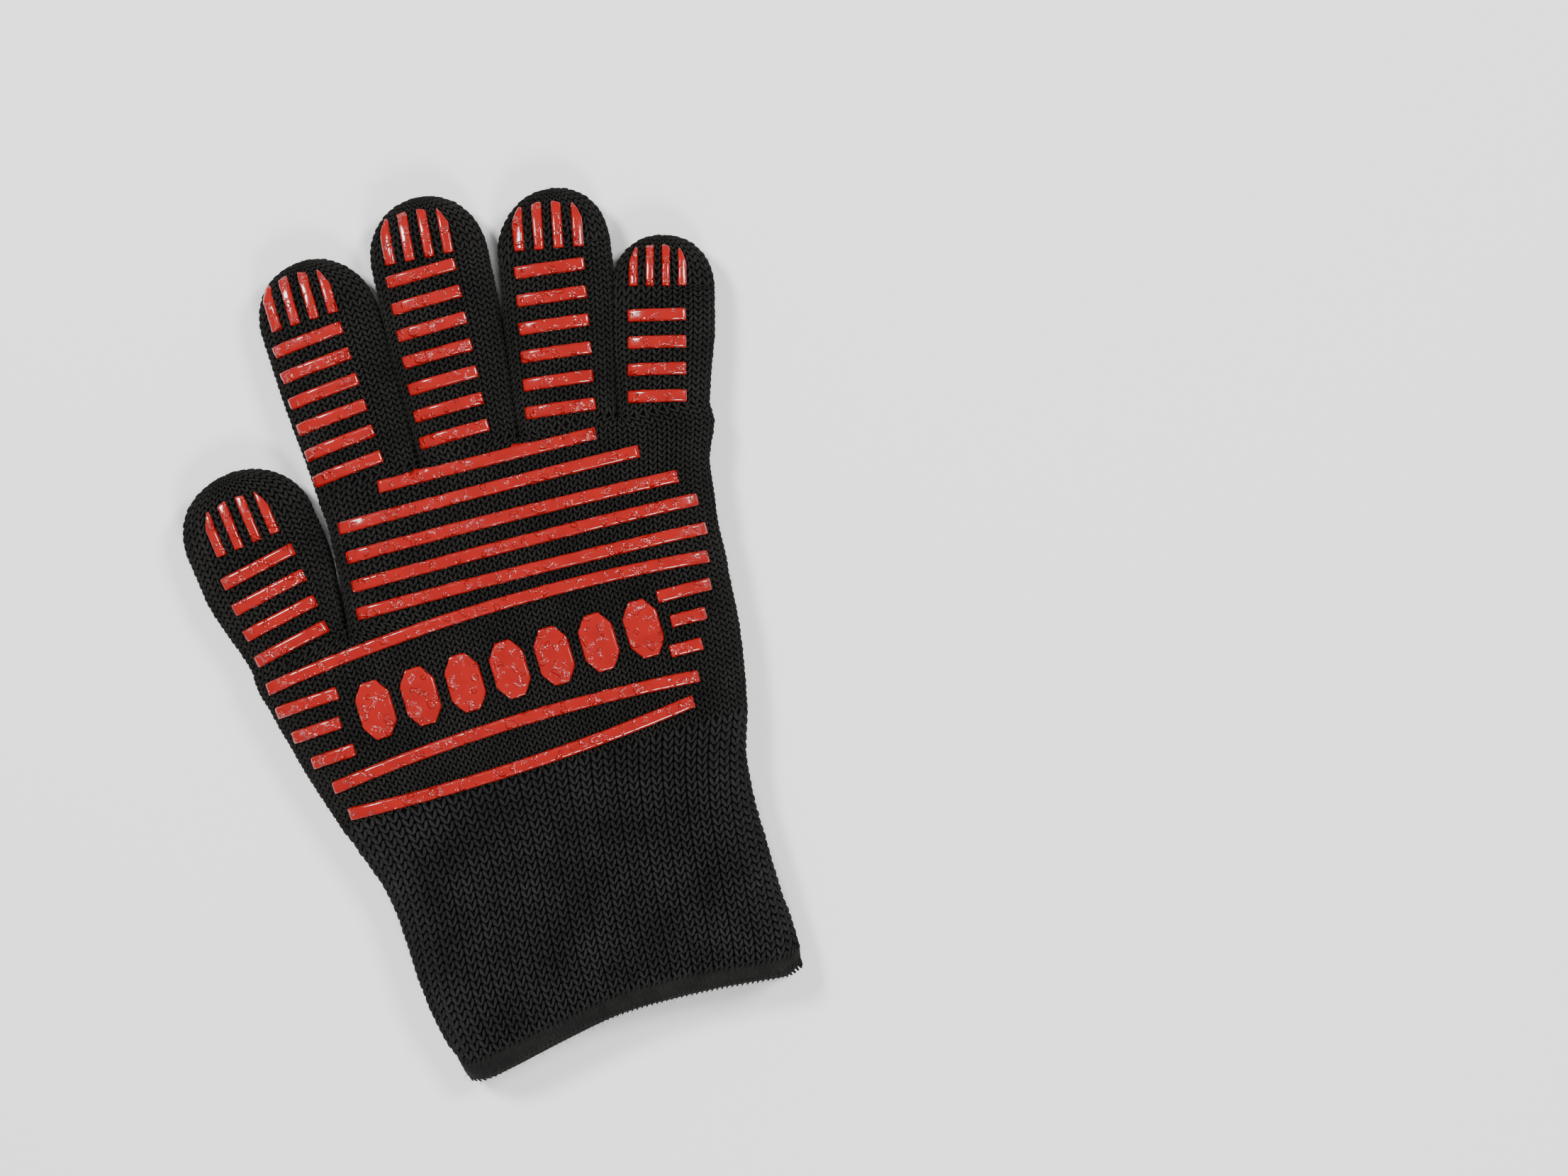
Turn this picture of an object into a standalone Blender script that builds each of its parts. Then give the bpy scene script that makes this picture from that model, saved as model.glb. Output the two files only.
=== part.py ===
"""Heat resistant glove for outdoor cooking: a left-hand glove lying on its back, palm up.

Two layers of tubes follow the hand: a knitted outer shell and a cotton lining inside it. Both are cut
where the hand bends, so that every finger has three hinges, the thumb two and the wrist one. Silicone
grip prints lie on the palm side, and a binding closes the mouth of the cuff.

Plan coordinates (x across, y towards the fingertips) are in millimetres from a datum in the palm, and
DATUM_X and DATUM_Y move the datum so that the box of the glove is centred on the origin. Objects are in
metres, +Z up, with the back of the glove on z = 0.
"""

import math
from dataclasses import dataclass

import bmesh
import bpy
from mathutils import Vector
from mathutils.bvhtree import BVHTree

MM = 0.001

# ---------------------------------------------------------------- driving dimensions, in millimetres
DATUM_X = -6.1
DATUM_Y = -2.8

WALL = 2.0                # knitted shell
LINING = 1.8              # cotton lining
GAP = 0.3                 # between neighbouring pieces
FIT = 0.4                 # between the lining and the shell around it

PALM_THICK = 20.0         # palm, from the back to the palm side
CUFF_THICK = 22.0         # cuff at its mouth
TAPER = 1.0               # the finger roots and the neck of the cuff are thinner by this
SIDE = 15.0               # width of the rounded edge of the palm and cuff
DIGIT_SIDE = 11.5         # width of the rounded edge of a finger

CUFF_MOUTH_Y = -139.5     # mouth of the cuff at its two edges
MOUTH_ARCH = 6.0          # the middle of the mouth is set in by this much
MOUTH_TILT = 1.5          # the right edge of the mouth is higher by twice this
CUFF_CENTRE_X = 5.6
CUFF_WIDTH = 118.0        # at the mouth
CUFF_NECK_Y = -100.0
CUFF_NECK_WIDTH = 124.0

WRIST_Y = -58.0           # axis of the wrist
WRIST_RADIUS = 13.8       # round ends of the wrist joint
WRIST_CENTRE_X = 3.9
WRIST_WIDTH = 130.0

PALM_RIGHT = 82.0         # palm edge on the little finger's side, at the thumb split
PALM_LEFT = -81.0         # palm edge on the thumb's side, at the thumb split
HEEL_Y = -18.0            # row across the heel of the palm
HEEL_LEFT = -73.6
HEEL_RIGHT = 78.4
CROTCH_X = -46.0          # between thumb and palm
CROTCH_Y = 15.6
SADDLE_Y = 34.0           # row across the palm above the thumb
SADDLE_LEFT = -43.4
SADDLE_RIGHT = 84.2
KNUCKLE_LEFT = -43.4      # palm edges at the finger roots
KNUCKLE_RIGHT = 90.6

ARC_STEPS = 6             # facets of a rounded edge
FULL_SHARE = 0.45         # a digit has its full width from this share of its length
SHORTEST = 1.0            # least width of a rounded edge, and least length of a straight run
TIP_TURNS = (32.0, 56.0, 75.0, 88.0)   # latitudes of the rings that close a fingertip, in degrees

PRINT_HIGH = 1.0          # height of the silicone prints
PRINT_CLEAR = 0.5         # under the corners of the prints
PRINT_LEAST = 0.02        # under their facets, which cut across rounded edges
PRINT_CHECKS = 5          # places looked at along each side of a facet
BAR_WIDE = 4.2            # width of the cross bars
LINK_WIDE = 1.4           # width of the links that join the bars of a group
BAR_SHARES = (0.5, 0.41, 0.29)   # cuts across a cross bar, as shares of its length
TIP_BAR_WIDE = 3.2
TIP_BAR_SHARE = 0.52      # widest a tip bar may be, as a share of its pitch
TIP_OUTER_SHORT = 4.0     # the outer tip bars end this much lower
TIP_OUTER_FOOT = 0.6      # and start this much higher
TIP_SLANT = 1.2           # half the drop across their tops

BINDING_THICK = 0.9
BINDING_TALL = 6.0
BINDING_LEAD = 2.0        # the cuff takes the shape of its mouth this far above the binding

EMBLEM_CELLS = 7
EMBLEM_PITCH = 15.4
EMBLEM_TALL = 19.0
EMBLEM_WIDE = 12.6
EMBLEM_SHOULDER = 0.5     # share of a stud's height below its slanted sides
EMBLEM_CAP = 2.2          # a stud is wider than its top by this ratio
EMBLEM_X = 2.5
EMBLEM_Y = -11.5

WELD = 0.01               # corners closer than this are one

COLLECTION = "heat_resistant_glove"


@dataclass(frozen=True)
class Digit:
    """One finger or the thumb: a tube that leaves the palm at its root line."""

    name: str
    root: tuple            # middle of the root line
    lean: float            # degrees, positive towards +X
    hinge: float           # degrees, slope of the root line and of the hinge axes
    root_wide: float
    wide: float
    length: float
    tip_round: float       # length of the round end
    root_thick: float
    tip_thick: float
    joints: tuple          # distances of the outer hinges from the root line
    parts: tuple           # names of the segments from the root outwards
    first_bar: float       # first cross bar, from the root line
    bar_pitch: float
    bar_count: int
    bar_long: float
    bar_turn: float        # slope of the cross bars, degrees
    bar_side: float        # shift of the cross bars across the finger
    tip_bars: float        # middle of the four bars at the tip, back from its end
    tip_pitch: float
    tip_long: float


THREE = ("proximal", "middle", "tip")
DIGITS = (
    Digit("thumb", (-63.6, 12.4), -6.8, 10.4, 34.0, 42.6, 65.4, 20.0, 18.0, 17.0, (28.5,),
          ("base", "tip"), 5.2, 9.3, 4, 26.5, 11.0, -0.7, 16.6, 6.4, 16.0),
    Digit("index", (-25.9, 63.5), -0.8, 0.0, 33.6, 37.2, 75.5, 20.0, 18.0, 16.5, (26.5, 53.4),
          THREE, 4.6, 8.95, 6, 23.0, 4.0, -3.0, 13.8, 6.5, 16.0),
    Digit("middle", (9.4, 63.5), 4.6, 0.0, 32.8, 36.6, 84.9, 20.0, 18.0, 16.5, (27.8, 55.0),
          THREE, 5.0, 9.1, 7, 23.0, -1.0, -2.8, 13.4, 6.5, 16.0),
    Digit("ring", (43.3, 61.5), 12.0, 0.0, 31.2, 35.0, 79.0, 19.0, 18.0, 16.5, (28.5, 56.2),
          THREE, 5.2, 9.35, 6, 23.0, -8.0, -1.4, 13.8, 6.0, 15.6),
    Digit("little", (75.4, 57.0), 16.2, -4.0, 28.2, 31.6, 58.6, 17.0, 17.0, 15.0, (17.4, 36.4),
          THREE, 4.4, 8.8, 4, 18.6, -12.0, -1.8, 12.8, 5.2, 13.6),
)

# Long bars across the palm: left end, middle and right end of each.
PALM_BARS = (
    ("palm_bar_1", ((-22.0, 58.6), (15.0, 57.2), (51.0, 55.6))),
    ("palm_bar_2", ((-38.0, 49.2), (12.0, 48.0), (63.0, 46.0))),
    ("palm_bar_3", ((-38.0, 39.2), (18.0, 37.6), (73.0, 34.6))),
    ("palm_bar_4", ((-39.0, 29.6), (18.0, 28.2), (77.0, 25.4))),
    ("palm_bar_5", ((-39.0, 20.6), (18.0, 18.6), (77.0, 15.6))),
    ("palm_bar_6", ((-75.0, 5.2), (-44.0, 9.8), (75.0, 6.2))),
    ("palm_bar_7", ((-64.0, -32.6), (0.0, -28.6), (61.0, -31.2))),
    ("palm_bar_8", ((-57.0, -40.6), (0.0, -39.6), (57.0, -38.6))),
)
LEFT_BARS = ((-63.5, -3.0, 20.0), (-63.0, -12.5, 15.0), (-60.5, -22.4, 13.0))     # x, y, length
RIGHT_BARS = ((65.0, -2.6, 18.0), (64.0, -11.6, 12.0), (60.5, -21.0, 11.0))
BAR_STEP = 11.0           # longest facet along a palm bar

# Colours: linear RGB, with roughness
BLACK_KNIT = ((0.010, 0.010, 0.009), 0.95)
CUFF_KNIT = ((0.013, 0.013, 0.012), 0.95)
BINDING_CLOTH = ((0.018, 0.018, 0.019), 0.85)
COTTON = ((0.62, 0.58, 0.50), 0.95)
SILICONE = ((0.42, 0.035, 0.022), 0.38)


# ---------------------------------------------------------------- scene set-up
def clear_scene():
    """Remove every object that the scene starts with."""
    for obj in list(bpy.data.objects):
        bpy.data.objects.remove(obj, do_unlink=True)


def make_material(name, look):
    """A Principled material from a linear colour and a roughness."""
    material = bpy.data.materials.new(name)
    material.use_nodes = True
    shader = material.node_tree.nodes["Principled BSDF"]
    shader.inputs["Base Color"].default_value = (*look[0], 1.0)
    shader.inputs["Roughness"].default_value = look[1]
    shader.inputs["Metallic"].default_value = 0.0
    return material


def add_object(name, bm, material, collection, upwards=False):
    """Turn a bmesh into a named object with outward faces, or upward ones if it is still a sheet."""
    bmesh.ops.recalc_face_normals(bm, faces=bm.faces)
    bm.faces.ensure_lookup_table()
    if upwards and bm.faces[0].normal.z < 0:
        bmesh.ops.reverse_faces(bm, faces=bm.faces)
    mesh = bpy.data.meshes.new(name)
    bm.to_mesh(mesh)
    bm.free()
    mesh.materials.append(material)
    obj = bpy.data.objects.new(name, mesh)
    collection.objects.link(obj)
    return obj


# ---------------------------------------------------------------- sections
def world(x, y, z):
    """A point in metres from plan coordinates and a height in millimetres."""
    return Vector(((x + DATUM_X) * MM, (y + DATUM_Y) * MM, z * MM))


def section(left, right, low, high, side, inset, columns=()):
    """Points (x, z) of a flat tube's section, from the right edge's foot round over the top.

    The edges are half ellipses, `side` wide. `columns` are extra points along the flat top and the flat
    bottom, from right to left.
    """
    side = max(side - inset, SHORTEST)
    left += inset
    right -= inset
    low += inset
    high -= inset
    middle = (low + high) / 2
    half = (high - low) / 2
    turns = [math.radians(-90 + 180 * k / ARC_STEPS) for k in range(ARC_STEPS + 1)]
    right_edge = [(right - side + side * math.cos(t), middle + half * math.sin(t)) for t in turns]
    left_edge = [(left + side - side * math.cos(t), middle - half * math.sin(t)) for t in turns]
    top = [(x, high) for x in columns]
    bottom = [(x, low) for x in reversed(columns)]
    return right_edge + top + left_edge + bottom


def bridge(bm, rings):
    """Faces between each ring of vertices and the next."""
    for near, far in zip(rings, rings[1:]):
        count = len(near)
        for k in range(count):
            after = (k + 1) % count
            bm.faces.new((near[k], near[after], far[after], far[k]))


def add_ring(bm, points):
    """Vertices at a ring's points."""
    return [bm.verts.new(p) for p in points]


# ---------------------------------------------------------------- fingers
def smooth_step(value):
    """Ease from 0 to 1."""
    value = min(max(value, 0.0), 1.0)
    return value * value * (3 - 2 * value)


def digit_point(digit, along, across, slope):
    """Plan point at a distance along a digit and a distance across it, measured along `slope`."""
    lean = math.radians(digit.lean)
    turn = math.radians(slope)
    stretch = across / math.cos(lean + turn)
    x = digit.root[0] + along * math.sin(lean) + stretch * math.cos(turn)
    y = digit.root[1] + along * math.cos(lean) + stretch * math.sin(turn)
    return x, y


def digit_slope(digit, along):
    """Slope of the section at a distance along a digit: the hinges' slope, then square to the tip."""
    start = digit.joints[-1]
    end = digit.length - digit.tip_round
    if end <= start:
        end = start + SHORTEST
    return digit.hinge + (-digit.lean - digit.hinge) * smooth_step((along - start) / (end - start))


def digit_sizes(digit, along):
    """Half width and top height of a digit at a distance along it."""
    share = smooth_step(along / (FULL_SHARE * digit.length))
    half = (digit.root_wide + (digit.wide - digit.root_wide) * share) / 2
    high = digit.root_thick + (digit.tip_thick - digit.root_thick) * along / digit.length
    return half, high


def digit_ring(digit, along, inset, shrink=1.0, reach=0.0):
    """World points of a digit's section, shrunk about its middle where the tip closes."""
    half, high = digit_sizes(digit, along)
    slope = digit_slope(digit, along)
    middle = high / 2
    points = section(-half, half, 0.0, high, DIGIT_SIDE, inset)
    ring = []
    for across, z in points:
        x, y = digit_point(digit, along + reach, across * shrink, slope)
        ring.append(world(x, y, middle + (z - middle) * shrink))
    return ring


def digit_rings(digit, start, end, inset):
    """Rings of one segment of a digit; a segment that runs to the end is closed round."""
    closed = end >= digit.length
    shoulder = digit.length - digit.tip_round
    stop = max(shoulder, start + SHORTEST) if closed else end
    middle = (start + stop) / 2
    rings = [digit_ring(digit, along, inset) for along in (start, middle, stop)]
    if closed:
        reach = digit.length - inset - stop
        for turn in TIP_TURNS:
            angle = math.radians(turn)
            rings.append(digit_ring(digit, stop, inset, math.cos(angle), reach * math.sin(angle)))
    return rings


def digit_spans(digit):
    """Segment names with their start and end along the digit, a gap apart."""
    edges = (0.0, *digit.joints, digit.length)
    spans = []
    for k, part in enumerate(digit.parts):
        start = edges[k] + GAP / 2
        end = edges[k + 1] - GAP / 2 if k + 1 < len(digit.parts) else digit.length
        spans.append((part, start, end))
    return spans


def tube(name, outer, inner, closed, material, collection):
    """A tube from its outer and inner rings; a closed one has a cap at its far end."""
    bm = bmesh.new()
    out_rings = [add_ring(bm, ring) for ring in outer]
    in_rings = [add_ring(bm, ring) for ring in inner]
    bridge(bm, out_rings)
    bridge(bm, in_rings)
    bridge(bm, [out_rings[0], in_rings[0]])
    if closed:
        bm.faces.new(out_rings[-1])
        bm.faces.new(in_rings[-1])
    else:
        bridge(bm, [out_rings[-1], in_rings[-1]])
    return add_object(name, bm, material, collection)


def make_digit(digit, materials, collection):
    """Shell and lining segments of one digit."""
    inside = WALL + FIT
    for part, start, end in digit_spans(digit):
        name = f"{digit.name}_{part}"
        closed = end >= digit.length
        tube(f"{name}_shell", digit_rings(digit, start, end, 0.0),
             digit_rings(digit, start, end, WALL), closed, materials["knit"], collection)
        tube(f"{name}_lining", digit_rings(digit, start, end, inside),
             digit_rings(digit, start, end, inside + LINING), closed, materials["cotton"], collection)


# ---------------------------------------------------------------- palm and cuff
def digit_named(name):
    """The digit of that name."""
    return next(d for d in DIGITS if d.name == name)


def root_line(x):
    """Where the palm ends below the fingers, at a position across it."""
    fingers = [d for d in DIGITS if d.name != "thumb"]
    nearest = min(fingers, key=lambda d: abs(x - d.root[0]) - d.root_wide / 2)
    return nearest.root[1] + (x - nearest.root[0]) * math.tan(math.radians(nearest.hinge)) - GAP / 2


def thumb_line(x):
    """Where the palm ends below the thumb, at a position across it."""
    thumb = digit_named("thumb")
    return thumb.root[1] + (x - thumb.root[0]) * math.tan(math.radians(thumb.hinge)) - GAP / 2


def finger_columns():
    """Positions across the palm on both sides of each finger crotch, from right to left."""
    fingers = sorted((d for d in DIGITS if d.name != "thumb"), key=lambda d: -d.root[0])
    columns = []
    for right, left in zip(fingers, fingers[1:]):
        gap_right = right.root[0] - right.root_wide / 2
        gap_left = left.root[0] + left.root_wide / 2
        middle = (gap_right + gap_left) / 2
        columns += [middle + 0.6, middle - 0.6]
    return columns


def spread_columns(left, right):
    """The columns of the thumb split, spread over the flat part of a row between two edges."""
    split_left = PALM_LEFT + SIDE
    split_flat = PALM_RIGHT - PALM_LEFT - 2 * SIDE
    flat = right - left - 2 * SIDE
    shares = [(x - split_left) / split_flat for x in finger_columns() + [CROTCH_X]]
    return [left + SIDE + share * flat for share in shares]


def wrist_ring(inset, sign):
    """Section at the wrist joint: its end is part of a cylinder about the wrist's axis."""
    radius = WRIST_RADIUS + sign * GAP / 2
    left = WRIST_CENTRE_X - WRIST_WIDTH / 2
    right = WRIST_CENTRE_X + WRIST_WIDTH / 2
    points = section(left, right, 0.0, PALM_THICK, SIDE, inset, spread_columns(left, right))
    ring = []
    for x, z in points:
        rise = z - PALM_THICK / 2
        ring.append(world(x, WRIST_Y + math.sqrt(radius**2 - rise**2), z))
    return ring


def palm_row(left, right, y, inset, columns):
    """A straight row across the palm."""
    return [world(x, y, z) for x, z in section(left, right, 0.0, PALM_THICK, SIDE, inset, columns)]


def palm_skin(bm, inset):
    """One surface of the palm: a wide tube that splits into the thumb's and the fingers' openings.

    Returns the vertex loops of the wrist, thumb and finger openings.
    """
    columns = finger_columns()
    wrist = add_ring(bm, wrist_ring(inset, 1))
    heel_columns = spread_columns(HEEL_LEFT, HEEL_RIGHT)
    heel = add_ring(bm, palm_row(HEEL_LEFT, HEEL_RIGHT, HEEL_Y, inset, heel_columns))

    drop = inset                       # the inner surface turns back below the crotch
    split = []
    wide = columns + [CROTCH_X]
    for x, z in section(PALM_LEFT, PALM_RIGHT, 0.0, PALM_THICK, SIDE, inset, wide):
        line = thumb_line(x) if x < CROTCH_X else CROTCH_Y
        split.append(world(x, line - drop, z))
    split = add_ring(bm, split)
    bridge(bm, [wrist, heel, split])

    edge = ARC_STEPS + 1
    front = edge + len(columns)                     # the crotch's vertex on the palm side
    back = front + 1 + edge                         # and on the back
    chain = []
    for step in range(1, ARC_STEPS):
        turn = math.radians(90 - 180 * step / ARC_STEPS)
        middle = PALM_THICK / 2
        z = middle + (middle - inset) * math.sin(turn)
        chain.append(bm.verts.new(world(CROTCH_X, CROTCH_Y - drop, z)))
    thumb_loop = split[front:back + 1] + chain[::-1]
    palm_loop = split[:front + 1] + chain + split[back:]

    saddle = add_ring(bm, palm_row(SADDLE_LEFT, SADDLE_RIGHT, SADDLE_Y, inset, columns))
    top = []
    for x, z in section(KNUCKLE_LEFT, KNUCKLE_RIGHT, 0.0, PALM_THICK - TAPER, SIDE, inset, columns):
        top.append(world(x, root_line(x), z))
    top = add_ring(bm, top)
    bridge(bm, [palm_loop, saddle, top])
    return wrist, thumb_loop, top


def make_palm_layer(name, outside, inside, material, collection):
    """A palm piece between two surfaces."""
    bm = bmesh.new()
    outer = palm_skin(bm, outside)
    inner = palm_skin(bm, inside)
    for out_loop, in_loop in zip(outer, inner):
        bridge(bm, [out_loop, in_loop])
    return add_object(name, bm, material, collection)


def mouth_line(share):
    """Where the cuff ends, at a share of its half width across it."""
    return CUFF_MOUTH_Y + MOUTH_TILT * share + MOUTH_ARCH * (1 - share**2)


def mouth_ring(inset, rise):
    """Section of the cuff at its mouth, raised by `rise` towards the wrist."""
    half = CUFF_WIDTH / 2
    left = CUFF_CENTRE_X - half
    right = CUFF_CENTRE_X + half
    lift = BINDING_THICK + GAP         # leaves room for the binding above the ground
    points = section(left, right, lift, CUFF_THICK - lift, SIDE, inset, spread_columns(left, right))
    return [world(x, mouth_line((x - CUFF_CENTRE_X) / half) + rise, z) for x, z in points]


def cuff_rings(inset):
    """Rings of the cuff from the wrist to its mouth."""
    left = CUFF_CENTRE_X - CUFF_NECK_WIDTH / 2
    right = CUFF_CENTRE_X + CUFF_NECK_WIDTH / 2
    neck = section(left, right, 0.0, CUFF_THICK - TAPER, SIDE, inset, spread_columns(left, right))
    neck = [world(x, CUFF_NECK_Y, z) for x, z in neck]
    above = mouth_ring(inset, BINDING_TALL + BINDING_LEAD)
    return [wrist_ring(inset, -1), neck, above, mouth_ring(inset, 0.0)]


def make_cuff(materials, collection):
    """Shell, lining and binding of the cuff."""
    inside = WALL + FIT
    tube("cuff_shell", cuff_rings(0.0), cuff_rings(WALL), False, materials["cuff"], collection)
    deep = inside + LINING
    tube("cuff_lining", cuff_rings(inside), cuff_rings(deep), False, materials["cotton"], collection)
    lip = -GAP - BINDING_THICK
    path = (
        (-GAP, -GAP), (-GAP, BINDING_TALL), (-GAP - BINDING_THICK, BINDING_TALL),
        (-GAP - BINDING_THICK, lip), (deep + GAP + BINDING_THICK, lip),
        (deep + GAP + BINDING_THICK, BINDING_TALL), (deep + GAP, BINDING_TALL), (deep + GAP, -GAP),
    )
    bm = bmesh.new()
    rings = [add_ring(bm, mouth_ring(inset, rise)) for inset, rise in path]
    bridge(bm, rings + rings[:1])
    add_object("cuff_binding", bm, materials["binding"], collection)


# ---------------------------------------------------------------- silicone prints
def facet_points(corners):
    """Places over a four-sided facet, cut in two along either of its diagonals."""
    for first in (0, 1):
        for turn in (1, 2):
            a = corners[first]
            b = corners[(first + turn) % 4]
            c = corners[(first + turn + 1) % 4]
            for i in range(PRINT_CHECKS + 1):
                for j in range(PRINT_CHECKS + 1 - i):
                    yield a + (b - a) * (i / PRINT_CHECKS) + (c - a) * (j / PRINT_CHECKS)


class Drape:
    """Finds the height of the palm side of an outer surface."""

    def __init__(self, build_surface):
        bm = bmesh.new()
        build_surface(bm)
        self.tree = BVHTree.FromBMesh(bm)
        bm.free()

    def under(self, point):
        """Surface point below, or above, a world point."""
        start = Vector((point.x, point.y, 1.0))
        return self.tree.ray_cast(start, Vector((0.0, 0.0, -1.0)))[0]

    def lay(self, x, y):
        """World point a gap above the surface at a plan position."""
        return self.under(world(x, y, 0.0)) + Vector((0.0, 0.0, PRINT_CLEAR * MM))

    def clear(self, bm):
        """Raise the corners of the facets that would cut into the surface."""
        lifts = {vert: 0.0 for vert in bm.verts}
        for face in bm.faces:
            need = 0.0
            for point in facet_points([vert.co for vert in face.verts]):
                ground = self.under(point)
                if ground is not None:
                    need = max(need, ground.z + PRINT_LEAST * MM - point.z)
            for vert in face.verts:
                lifts[vert] = max(lifts[vert], need)
        for vert, lift in lifts.items():
            vert.co.z += lift


def make_print(name, quads, drape, material, collection):
    """A print: plan quads that share corners, laid on a surface and thickened upwards."""
    bm = bmesh.new()
    for quad in quads:
        bm.faces.new([bm.verts.new(drape.lay(x, y)) for x, y in quad])
    bmesh.ops.remove_doubles(bm, verts=bm.verts, dist=WELD * MM)
    drape.clear(bm)
    obj = add_object(name, bm, material, collection, upwards=True)
    thicken = obj.modifiers.new("thickness", "SOLIDIFY")
    thicken.thickness = PRINT_HIGH * MM
    thicken.offset = 1.0


class Pad:
    """A frame on the plan: a middle, and a turn in degrees."""

    def __init__(self, x, y, turn):
        self.x = x
        self.y = y
        self.cos = math.cos(math.radians(turn))
        self.sin = math.sin(math.radians(turn))

    def at(self, across, along):
        """Plan point at a place in the pad's own frame."""
        return (self.x + across * self.cos - along * self.sin, self.y + across * self.sin + along * self.cos)


def bar_quads(pad, long, wide):
    """A cross bar cut at the corners where a link meets it."""
    half = wide / 2
    steps = [share * long for share in BAR_SHARES] + [LINK_WIDE / 2]
    edges = [-step for step in steps] + list(reversed(steps))
    quads = []
    for left, right in zip(edges, edges[1:]):
        quads.append((pad.at(left, -half), pad.at(right, -half), pad.at(right, half), pad.at(left, half)))
    return quads


def link_quad(lower, lower_top, upper, upper_foot):
    """The link between the top edge of one pad and the bottom edge of the next."""
    half = LINK_WIDE / 2
    return (lower.at(-half, lower_top), lower.at(half, lower_top),
            upper.at(half, upper_foot), upper.at(-half, upper_foot))


def tip_quads(pad, pitch, long):
    """Four bars along the finger, joined across their middles."""
    half_wide = min(TIP_BAR_WIDE, TIP_BAR_SHARE * pitch) / 2
    link = LINK_WIDE / 2
    quads = []
    for side in (-1, 1):
        for inner in (True, False):
            centre = side * pitch * (0.5 if inner else 1.5)
            low = -long / 2 if inner else -long / 2 + TIP_OUTER_FOOT
            high = long / 2 if inner else long / 2 - TIP_OUTER_SHORT
            slant = 0.0 if inner else TIP_SLANT
            near = centre - side * half_wide
            far = centre + side * half_wide
            rows = ((low, low), (low / 2, low / 2), (-link, -link), (link, link), (high / 2, high / 2),
                    (high + slant, high - slant))
            for (a_near, a_far), (b_near, b_far) in zip(rows, rows[1:]):
                quads.append((pad.at(near, a_near), pad.at(far, a_far),
                              pad.at(far, b_far), pad.at(near, b_near)))
        first = side * (pitch * 0.5 + half_wide)
        second = side * (pitch * 1.5 - half_wide)
        quads.append((pad.at(first, -link), pad.at(second, -link), pad.at(second, link), pad.at(first, link)))
        inside = side * (pitch * 0.5 - half_wide)
        quads.append((pad.at(side * link, -link), pad.at(inside, -link),
                      pad.at(inside, link), pad.at(side * link, link)))
    quads.append((pad.at(-link, -link), pad.at(link, -link), pad.at(link, link), pad.at(-link, link)))
    return quads


def digit_pad(digit, along, across, turn):
    """A pad on a digit."""
    x, y = digit_point(digit, along, across, -digit.lean)
    return Pad(x, y, turn)


def digit_surface(bm, digit):
    """The outer surface of a whole digit, through the rings of all its segments."""
    rings = [digit_ring(digit, 0.0, 0.0)]
    for _, start, end in digit_spans(digit):
        rings += digit_rings(digit, start, end, 0.0)
    bridge(bm, [add_ring(bm, ring) for ring in rings])


def make_digit_prints(digit, material, collection):
    """One group of prints on each segment of a digit."""
    drape = Drape(lambda bm: digit_surface(bm, digit))
    for part, start, end in digit_spans(digit):
        places = [digit.first_bar + k * digit.bar_pitch for k in range(digit.bar_count)]
        pads = [digit_pad(digit, s, digit.bar_side, digit.bar_turn) for s in places if start < s < end]
        quads = []
        for pad in pads:
            quads += bar_quads(pad, digit.bar_long, BAR_WIDE)
        for lower, upper in zip(pads, pads[1:]):
            quads.append(link_quad(lower, BAR_WIDE / 2, upper, -BAR_WIDE / 2))
        if end >= digit.length:
            tip = digit_pad(digit, digit.length - digit.tip_bars, digit.bar_side / 2, -digit.lean)
            quads += tip_quads(tip, digit.tip_pitch, digit.tip_long)
            if pads:
                quads.append(link_quad(pads[-1], BAR_WIDE / 2, tip, -LINK_WIDE / 2))
        make_print(f"{digit.name}_{part}_prints", quads, drape, material, collection)


def strip_quads(points, wide):
    """A long bar through plan points, in facets."""
    ends = (points[0][0], points[-1][0])
    stations = [points[0]]
    for (x0, y0), (x1, y1) in zip(points, points[1:]):
        x = x0
        while x < x1:
            near_end = min(x - ends[0], ends[1] - x) < SIDE
            x = min(x + (BAR_STEP / 4 if near_end else BAR_STEP), x1)
            stations.append((x, y0 + (y1 - y0) * (x - x0) / (x1 - x0)))
    quads = []
    for (x0, y0), (x1, y1) in zip(stations, stations[1:]):
        quads.append(((x0, y0 - wide / 2), (x1, y1 - wide / 2), (x1, y1 + wide / 2), (x0, y0 + wide / 2)))
    return quads


def short_bar_quads(bars):
    """Short level bars, one above another, with links between them."""
    pads = [(Pad(x, y, 0.0), long) for x, y, long in sorted(bars, key=lambda bar: bar[1])]
    quads = []
    for pad, long in pads:
        quads += bar_quads(pad, long, BAR_WIDE)
    for (lower, _), (upper, _) in zip(pads, pads[1:]):
        quads.append(link_quad(lower, BAR_WIDE / 2, upper, -BAR_WIDE / 2))
    return quads


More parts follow.
